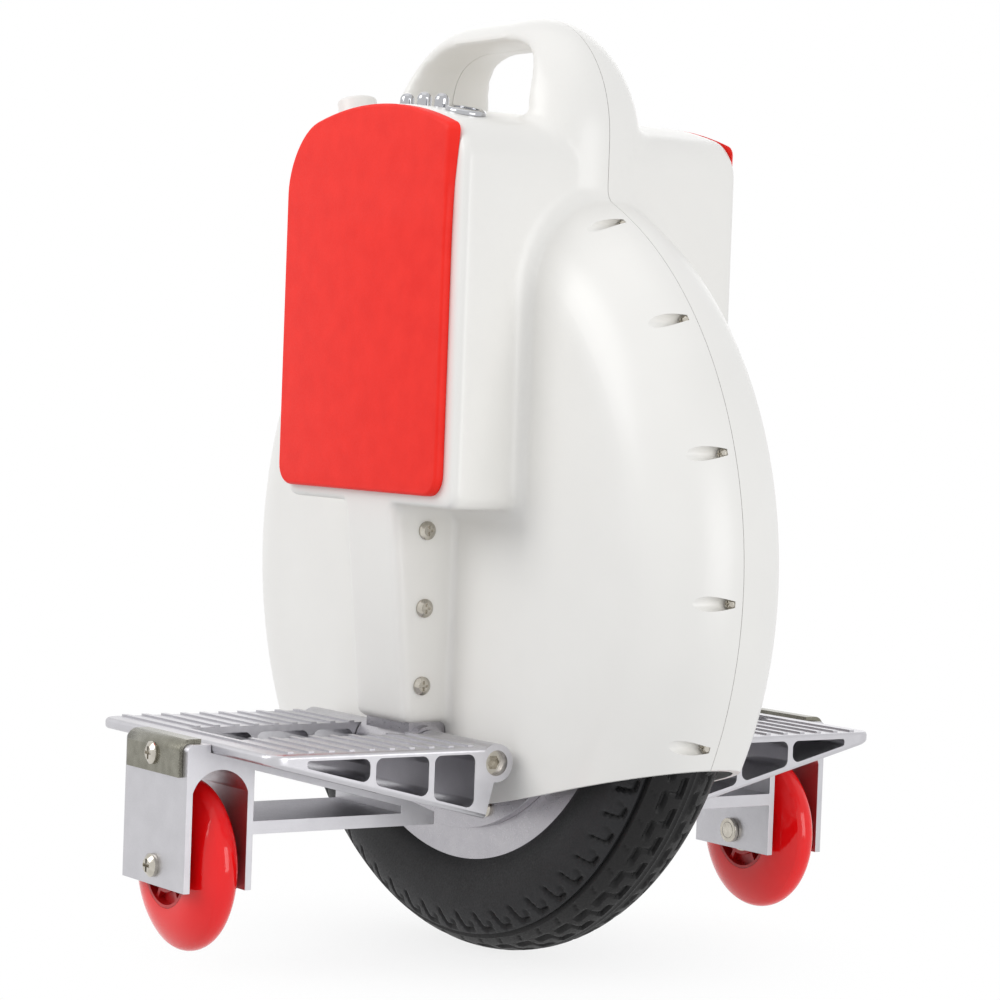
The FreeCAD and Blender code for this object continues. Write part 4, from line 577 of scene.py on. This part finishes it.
shape(tyre, "VERT", lambda point: abs(section_angle(point)) > TREAD_ANGLE and point.index % THINNED)
bpy.ops.mesh.dissolve_verts()
bpy.ops.mesh.select_all(action="SELECT")
bpy.ops.mesh.spin(steps=PITCHES * STEPS, angle=2 * math.pi, center=mm(0, 0, AXLE), axis=(0, 1, 0))
bpy.ops.mesh.select_all(action="SELECT")
bpy.ops.mesh.remove_doubles(threshold=mm(0.05))
bpy.ops.mesh.normals_make_consistent(inside=False)
bpy.ops.object.mode_set(mode="OBJECT")

spots = read(tyre.data.vertices, "co", 3, np.float64) * 1000
spots[:, 2] -= AXLE
radius = np.hypot(spots[:, 0], spots[:, 2])
over = radius - AXLE + SECTION
across = np.arctan2(spots[:, 1], over) * SECTION
phase = np.arctan2(spots[:, 0], spots[:, 2]) / (2 * math.pi) * PITCHES


def band(values, middle, half, slope):
    """One inside a band, falling to nothing over its slope."""
    return np.clip((half + slope / 2 - np.abs(values - middle)) / slope, 0, 1)


def from_line(shift):
    """Distance round the tyre from the nearest line of the pattern, in millimetres."""
    count = phase + shift
    return (count - np.round(count)) * PITCH


away = np.abs(across)
turned = np.where(across > 0, 0.5, 0.0)
slots = np.maximum(band(away, 11.6, 1.3, 1.0) * band(from_line(turned), 0, 5.2, 1.4),
                   band(away, 4.6, 1.2, 1.0) * band(from_line(turned + 0.5), 0, 5.2, 1.4))
blocks = band(away, 8.1, 3.2, 1.0) * band(from_line(turned + 0.32) - 0.35 * (away - 8.1), 0, 0.6, 1.3)
cuts = band(away, 17.2, 1.9, 1.0) * band(from_line(turned + 0.2) + 0.8 * (away - 17.2), 0, 0.5, 1.3)
rings = np.maximum(band(away, 21.4, 0.7, 1.0), 0.5 * band(away, 1.4, 0.4, 1.0))
notches = band(away, 29.5, 5.0, 1.6) * band(from_line(turned) - 0.45 * (away - 25), 0, 0.9, 1.4)
hooks = band(away, 25.4, 0.9, 1.2) * band(from_line(turned) + 3.4, 0, 3.2, 1.4)
lugs = band(away, 28.4, 1.6, 1.4) * band(from_line(turned + 0.42), 0, 0.8, 1.4)
DEPTHS = [(slots, 2.2), (blocks, 1.3), (cuts, 0.9), (rings, 1.8), (notches, 1.9), (hooks, 1.8), (lugs, 1.1)]
press = np.zeros(len(spots))
for pattern, depth in DEPTHS:
    press = np.maximum(press, depth * pattern)
outward = spots.copy()
outward[:, [0, 2]] *= (over / radius)[:, None]
outward /= np.linalg.norm(outward, axis=1)[:, None]
spots -= outward * press[:, None]
spots[:, 2] += AXLE
tyre.data.vertices.foreach_set("co", (spots / 1000).ravel())
tyre.data.update()
# The pressed attribute also drives the painted shade in the grooves.
for name, values in (("pressed", np.clip(press / 1.2, 0, 1)), ("tread", band(away, 0, 21, 3))):
    tyre.data.attributes.new(name, "FLOAT", "POINT").data.foreach_set("value", values)
hand_over(tyre, 35, "wheel", "tyre", "tyre_rubber")
print("tread:", PITCHES, "pitches of", round(PITCH, 1), "mm")

# %% [markdown]
# Each roller turns on a moulded nylon hub. Its two faces are dished between the outer lip and the
# boss round the bearing, and six thin spokes cross the dish. A face is inset to the lip, pushed
# in, inset again to the boss and pulled out. The bore and the spokes follow.

# %% Roller hubs
HUB_RADIUS, HUB_HALF, HUB_LIP, HUB_DISH, HUB_BOSS = 19.9, 11, 1.4, 4.5, 12.8
BORE_RADIUS, BORE_LENGTH = 11.05, 30
SPOKES, SPOKE_WIDTH, SPOKE_SET_BACK, SPOKE_SHIFT = 6, 2, 3, 0.5
ROLLER = (0, 166.7, 49.2)
fresh()
bpy.ops.mesh.primitive_cylinder_add(vertices=96, radius=mm(HUB_RADIUS), depth=mm(2 * HUB_HALF),
                                    location=mm(*ROLLER), rotation=LYING)
hub = settle("left_spoked_hub")
for way in (1, -1):
    shape(hub, "FACE", lambda face: face.normal.y * way > FACING)
    bpy.ops.mesh.inset(thickness=mm(HUB_LIP))
    bpy.ops.mesh.extrude_region_move(TRANSFORM_OT_translate={"value": mm(0, -way * HUB_DISH, 0)})
    bpy.ops.mesh.inset(thickness=mm(HUB_RADIUS - HUB_LIP - HUB_BOSS))
    bpy.ops.mesh.extrude_region_move(TRANSFORM_OT_translate={"value": mm(0, way * HUB_DISH, 0)})
    bpy.ops.object.mode_set(mode="OBJECT")
combine(hub, rod("bearing_bore", BORE_RADIUS, BORE_LENGTH, ROLLER, LYING), "DIFFERENCE")
reach = (HUB_BOSS + HUB_RADIUS) / 2 - SPOKE_SHIFT
spoke_size = (HUB_RADIUS - HUB_BOSS, 2 * HUB_HALF - SPOKE_SET_BACK, SPOKE_WIDTH)
for number in range(SPOKES):
    angle = math.radians(360 / SPOKES * number)
    middle = (reach * math.cos(angle), ROLLER[1], ROLLER[2] + reach * math.sin(angle))
    fresh()
    bpy.ops.mesh.primitive_cube_add(size=1, location=mm(*middle), rotation=(0, -angle, 0),
                                    scale=mm(*spoke_size))
    combine(hub, settle("spoke"), "UNION")
for side, piece in (("left", hub), ("right", mirror_image(hub, "right_spoked_hub"))):
    hand_over(piece, 35, f"{side}_roller", f"{side}_roller_hub", "roller_core")

# %% [markdown]
# On the box stand three indicator lamps, chromed bullets on thin barrels, and the button's chromed
# ring. A bullet is a short cylinder whose foot is inset and drawn down into the barrel and whose
# top edge is rounded almost to the middle. The ring is made the same way and then bored.

# %% Lamps and button ring
LAMP = {"radius": 3.4, "height": 6.4, "barrel": 3, "depth": 8, "top_round": 3.1}
RING = {"radius": 9.5, "height": 2.2, "barrel": 7.5, "depth": 12, "top_round": 1.5}
RING_BORE, RING_BORE_LENGTH = 6.06, 40


def bullet(name, angle, radius, height, barrel, depth, top_round):
    """A turned fitting on the arched top: a head with a round top edge over a thinner barrel."""
    fresh()
    bpy.ops.mesh.primitive_cylinder_add(vertices=72, radius=mm(radius), depth=mm(height),
                                        location=mm(0, 0, height / 2))
    piece = settle(name)
    shape(piece, "FACE", lambda face: face.normal.z < -FACING)
    bpy.ops.mesh.inset(thickness=mm(radius - barrel))
    bpy.ops.mesh.extrude_region_move(TRANSFORM_OT_translate={"value": mm(0, 0, -depth)})
    bpy.ops.object.mode_set(mode="OBJECT")
    soften(piece, lambda edge: min(end.z for end in ends(piece, edge)) > height - 0.01, top_round, 9)
    middle, tilt = seat(angle)
    piece.location = mm(*middle)
    piece.rotation_euler = tilt
    pick(piece)
    return settle(name)


lamps = [bullet("indicator_lamp", angle, **LAMP) for angle in LAMP_ANGLES]
pick(lamps[0])
for lamp in lamps:
    lamp.select_set(True)
bpy.ops.object.join()
lamps[0].name = lamps[0].data.name = "chromed_lamps"
ring = bullet("chromed_button_ring", BUTTON_ANGLE, **RING)
combine(ring, rod("ring_bore", RING_BORE, RING_BORE_LENGTH, *seat(BUTTON_ANGLE)), "DIFFERENCE")
hand_over(lamps[0], 30, "chassis", "indicator_lamps", "chrome_trim")
hand_over(ring, 30, "chassis", "button_bezel", "chrome_trim")

# %% [markdown]
# The metal parts, the button and the charge socket keep the shapes of the engineering model. A real
# edge is never perfectly sharp, so those that show get three live modifiers: one joins the loose
# triangles, one merges those that lie in one plane, and the last rounds the edges by a few tenths
# of a millimetre, to catch the light.

# %% Broken edges
PAIRED = {"pedal": 0.35, "bracket": 0.6, "clip": 0.4, "hinge_pin": 0.3, "clip_screw": 0.25,
          "roller_bolt": 0.4, "roller_nut": 0.3, "motor_cover": 0.5}
SINGLE = {"column_screws": 0.25, "seam_screws": 0.15, "power_button": 0.5, "rim": 0.5, "charge_socket": 0.3}
worked = {f"{side}_{piece}": width for side in ("left", "right") for piece, width in PAIRED.items()}
worked.update(SINGLE)
for name, width in worked.items():
    joined = nodes[name].modifiers.new("joined", "WELD")
    joined.merge_threshold = mm(0.004)
    merged = nodes[name].modifiers.new("merged", "DECIMATE")
    merged.decimate_type = "DISSOLVE"
    merged.angle_limit = math.radians(0.5)
    broken = nodes[name].modifiers.new("broken edges", "BEVEL")
    broken.width = mm(width)
    broken.segments = 2
    broken.limit_method = "ANGLE"
    broken.angle_limit = math.radians(32)
    broken.harden_normals = True
print("broken edges on", len(worked), "nodes")

# %% [markdown]
# Materials are built from nodes. A colour is written as it is seen, in hex, and turned to linear
# light by one function. One more adds a node, sets it up and links it.

# %% Material tools


def colour(code):
    """An sRGB hex code as linear red, green, blue and alpha."""
    parts = [int(code[start:start + 2], 16) / 255 for start in (1, 3, 5)]
    return [part / 12.92 if part <= 0.04045 else ((part + 0.055) / 1.055) ** 2.4 for part in parts] + [1]


def add(tree, kind, sockets=None, **settings):
    """A node with its settings. A socket takes a value, or a link from a node and its output."""
    node = tree.nodes.new("ShaderNode" + kind)
    for name, value in settings.items():
        setattr(node, name, value)
    for name, value in (sockets or {}).items():
        if isinstance(value, tuple) and isinstance(value[0], bpy.types.Node):
            tree.links.new(value[0].outputs[value[1]], node.inputs[name])
        else:
            node.inputs[name].default_value = value
    return node


def finish(name, light, dark, patch, grain, depth, rough, **constants):
    """A surface whose colour wanders between two shades in patches, with a fine grain.

    Patch and grain are sizes in millimetres, depth is the grain's height, and rough is the
    range of roughness. Constants go straight to the shader's sockets.
    """
    made = bpy.data.materials.new(name)
    made.use_nodes = True
    tree = made.node_tree
    shader = tree.nodes["Principled BSDF"]
    spot = add(tree, "TexCoord")
    wander = add(tree, "TexNoise", {"Vector": (spot, "Object"), "Scale": 1000 / patch, "Detail": 3.0})
    shade = add(tree, "ValToRGB", {"Fac": (wander, "Fac")})
    for stop, position, code in zip(shade.color_ramp.elements, (0.3, 0.7), (dark, light)):
        stop.position = position
        stop.color = colour(code)
    fine = add(tree, "TexNoise", {"Vector": (spot, "Object"), "Scale": 1000 / grain, "Detail": 2.0})
    gloss = add(tree, "MapRange", {"Value": (fine, "Fac"), "From Min": 0.3, "From Max": 0.7,
                                   "To Min": rough[0], "To Max": rough[1]})
    bump = add(tree, "Bump", {"Height": (fine, "Fac"), "Strength": 0.6, "Distance": mm(depth)})
    tree.links.new(shade.outputs["Color"], shader.inputs["Base Color"])
    tree.links.new(gloss.outputs["Result"], shader.inputs["Roughness"])
    tree.links.new(bump.outputs["Normal"], shader.inputs["Normal"])
    for socket, value in constants.items():
        shader.inputs[socket.replace("_", " ")].default_value = value
    return made


# %% [markdown]
# First the plastics. The shell is white ABS with the faint texture of a spark-eroded mould, which
# spreads the light without hiding the form. The pads are red foam whose satin skin keeps a broad
# dull sheen. The rollers are cast polyurethane: light goes a little way in, so that they glow, and
# the gloss is sharp. The other plastics are inside, or small and dark.

# %% Plastics
finishes = {
    "moulded_shell": finish("moulded_white_abs", "#F2F0EB", "#EEECE7", 60, 0.7, 0.006, (0.30, 0.38),
                            IOR=1.54),
    "side_pad": finish("red_foam_skin", "#FA2C20", "#F3251A", 12, 0.9, 0.02, (0.46, 0.58),
                       IOR=1.45, Specular_IOR_Level=0.3),
    "roller_urethane": finish("cast_red_polyurethane", "#FC1418", "#F60E12", 20, 1.2, 0.003, (0.05, 0.10),
                              IOR=1.45, Subsurface_Weight=0.3, Subsurface_Scale=mm(6)),
    "roller_core": finish("moulded_red_nylon", "#C2181C", "#AE1115", 15, 0.8, 0.01, (0.30, 0.42)),
    "battery_wrap": finish("blue_shrink_wrap", "#1D4FA0", "#173F86", 25, 2.0, 0.02, (0.25, 0.4)),
    "circuit_board": finish("green_laminate", "#1B5A33", "#144A29", 6, 0.8, 0.02, (0.35, 0.5)),
    "socket_plastic": finish("black_moulded_nylon", "#1E1E1F", "#161617", 10, 0.6, 0.02, (0.4, 0.55)),
}
print("plastics:", len(finishes))

# %% [markdown]
# Then the rubbers. The tyre's sidewall is soft black. The tread is a shade deeper, and the grooves
# carry painted shade: their colour is darkened to stand in for the shade on their floor. Both come
# from the two attributes that the pressing left on the mesh.

# %% Rubbers
# The second colour is painted shade for the groove floors.
TREAD_BLACK, GROOVE_PAINTED_SHADE = "#0B0A0B", "#0B0B0C"
finishes["tube_rubber"] = finish("butyl_rubber", "#262626", "#1C1C1C", 8, 0.8, 0.02, (0.55, 0.7))
finishes["tyre_rubber"] = finish("black_tyre_rubber", "#202022", "#18181A", 18, 0.9, 0.05, (0.46, 0.64),
                                 Specular_IOR_Level=0.3)
tree = finishes["tyre_rubber"].node_tree
shader = tree.nodes["Principled BSDF"]
skin = shader.inputs["Base Color"].links[0].from_node
tread = add(tree, "Attribute", attribute_name="tread")
pressed = add(tree, "Attribute", attribute_name="pressed")
top = add(tree, "Mix", {0: (tread, "Fac"), 6: (skin, "Color"), 7: colour(TREAD_BLACK)}, data_type="RGBA")
# Painted shade: where the tread was pressed in, the colour turns darker, in place of the shade on the
# groove floor.
painted_groove_shade = add(tree, "Mix", {0: (pressed, "Fac"), 6: (top, 2), 7: colour(GROOVE_PAINTED_SHADE)}, data_type="RGBA")
tree.links.new(painted_groove_shade.outputs[2], shader.inputs["Base Color"])
print("rubbers: 2")

# %% [markdown]
# Then the metals, each with the mark of how it was made. Blasted extrusions sparkle in fine grains,
# castings are mottled, plated screws mirror the studio, and the clips are dull zinc over pressed
# steel, olive where the light is low. Last, every node and every piece gets its material.

# %% Metals
METALS = {
    "extruded_aluminium": ("blasted_aluminium", "#C6C5C9", "#C0BFC3", 9, 0.8, 0.05, (0.28, 0.46)),
    "cast_aluminium": ("cast_aluminium", "#B6B4B8", "#ADABB0", 11, 0.9, 0.02, (0.26, 0.38)),
    "plated_steel": ("nickel_plated_steel", "#C9C4BA", "#B3AEA4", 4, 0.5, 0.006, (0.12, 0.24)),
    "zinc_clip": ("dull_zinc_plate", "#8F8D82", "#77756A", 6, 0.8, 0.02, (0.20, 0.32)),
    "bronze_bush": ("turned_bronze", "#B98B4E", "#A67A40", 3, 0.6, 0.01, (0.3, 0.4)),
    "chrome_trim": ("polished_chrome", "#B9BABD", "#B1B2B6", 10, 0.8, 0.002, (0.06, 0.12)),
    "magnets": ("nickel_plated_magnet", "#8A8A8C", "#7C7C7F", 6, 0.6, 0.01, (0.25, 0.35)),
    "laminations": ("stacked_steel", "#6B6C70", "#5C5D61", 3, 0.5, 0.02, (0.35, 0.5)),
    "copper_windings": ("enamelled_copper", "#B5602F", "#9C4C22", 2, 0.7, 0.05, (0.2, 0.35)),
}
for kind, settings in METALS.items():
    finishes[kind] = finish(*settings, Metallic=1.0)
for node in nodes.values():
    kind = node.data.materials[0].name.split(".")[0]
    node.data.materials[0] = finishes[kind]
for piece, kind in finished:
    piece.data.materials.clear()
    piece.data.materials.append(finishes[kind])
print("finishes:", len(finishes))

# %% [markdown]
# The studio floor is a sheet of paper that keeps the shadow under the wheel and is clear
# everywhere else. It fades out with distance, so that no horizon shows.

# %% Studio floor
FLOOR_RADIUS, FADE_RADIUS, CLEAR_SHARE = 4, 0.2, 0.82
fresh()
bpy.ops.mesh.primitive_circle_add(vertices=96, radius=FLOOR_RADIUS, fill_type="NGON", location=(0, 0, 0))
floor = settle("studio_floor")
paper = bpy.data.materials.new("white_paper_floor")
paper.use_nodes = True
tree = paper.node_tree
tree.nodes.remove(tree.nodes["Principled BSDF"])
spot = add(tree, "TexCoord")
far = add(tree, "VectorMath", {0: (spot, "Object")}, operation="LENGTH")
fade = add(tree, "MapRange", {"Value": (far, "Value"), "From Min": 0.0, "From Max": FADE_RADIUS,
                              "To Min": CLEAR_SHARE}, interpolation_type="SMOOTHSTEP")
matt = add(tree, "BsdfDiffuse", {"Color": colour("#FAFAFA")})
clear = add(tree, "BsdfTransparent")
surface = add(tree, "MixShader", {0: (fade, "Result"), 1: (matt, "BSDF"), 2: (clear, "BSDF")})
tree.links.new(surface.outputs["Shader"], tree.nodes["Material Output"].inputs["Surface"])
floor.data.materials.append(paper)
print("floor:", 2 * FLOOR_RADIUS, "m across")

# %% [markdown]
# Soft light comes from all round, and four large lamps shape it. The camera and mirror-like
# surfaces see plain white beyond the floor, while matt surfaces get the dimmer, cooler glow.

# %% Studio light
GLOW = 0.66
world = bpy.context.scene.world or bpy.data.worlds.new("studio")
bpy.context.scene.world = world
world.use_nodes = True
tree = world.node_tree
tree.nodes.clear()
rays = add(tree, "LightPath")
seen = add(tree, "Math", {0: (rays, "Is Camera Ray"), 1: (rays, "Is Glossy Ray")}, operation="MAXIMUM")
seen = add(tree, "Math", {0: (seen, "Value"), 1: (rays, "Is Transmission Ray")}, operation="MAXIMUM")
glow = add(tree, "Background", {"Color": colour("#F4F6FA"), "Strength": GLOW})
white = add(tree, "Background", {"Color": colour("#FFFFFF"), "Strength": 1.0})
sky = add(tree, "MixShader", {0: (seen, "Value"), 1: (glow, "Background"), 2: (white, "Background")})
add(tree, "OutputWorld", {"Surface": (sky, "Shader")})

LIGHTS = [("key", (-0.6, -1.9, 1.4), 1.4, 21), ("front", (2.2, 0.2, 0.5), 1.2, 15),
          ("top", (-0.2, -0.2, 2.2), 1.6, 3), ("back", (-1.6, 1.4, 1.2), 1.4, 4)]
for name, spot, size, power in LIGHTS:
    light = bpy.data.lights.new(name, "AREA")
    light.size = size
    light.energy = power
    holder = bpy.data.objects.new(name, light)
    bpy.context.scene.collection.objects.link(holder)
    holder.location = spot
    holder.rotation_euler = (Vector((0, 0, 0.2)) - Vector(spot)).to_track_quat("-Z", "Y").to_euler()
bpy.context.scene.view_settings.view_transform = "Standard"
print("studio:", len(LIGHTS), "lamps")
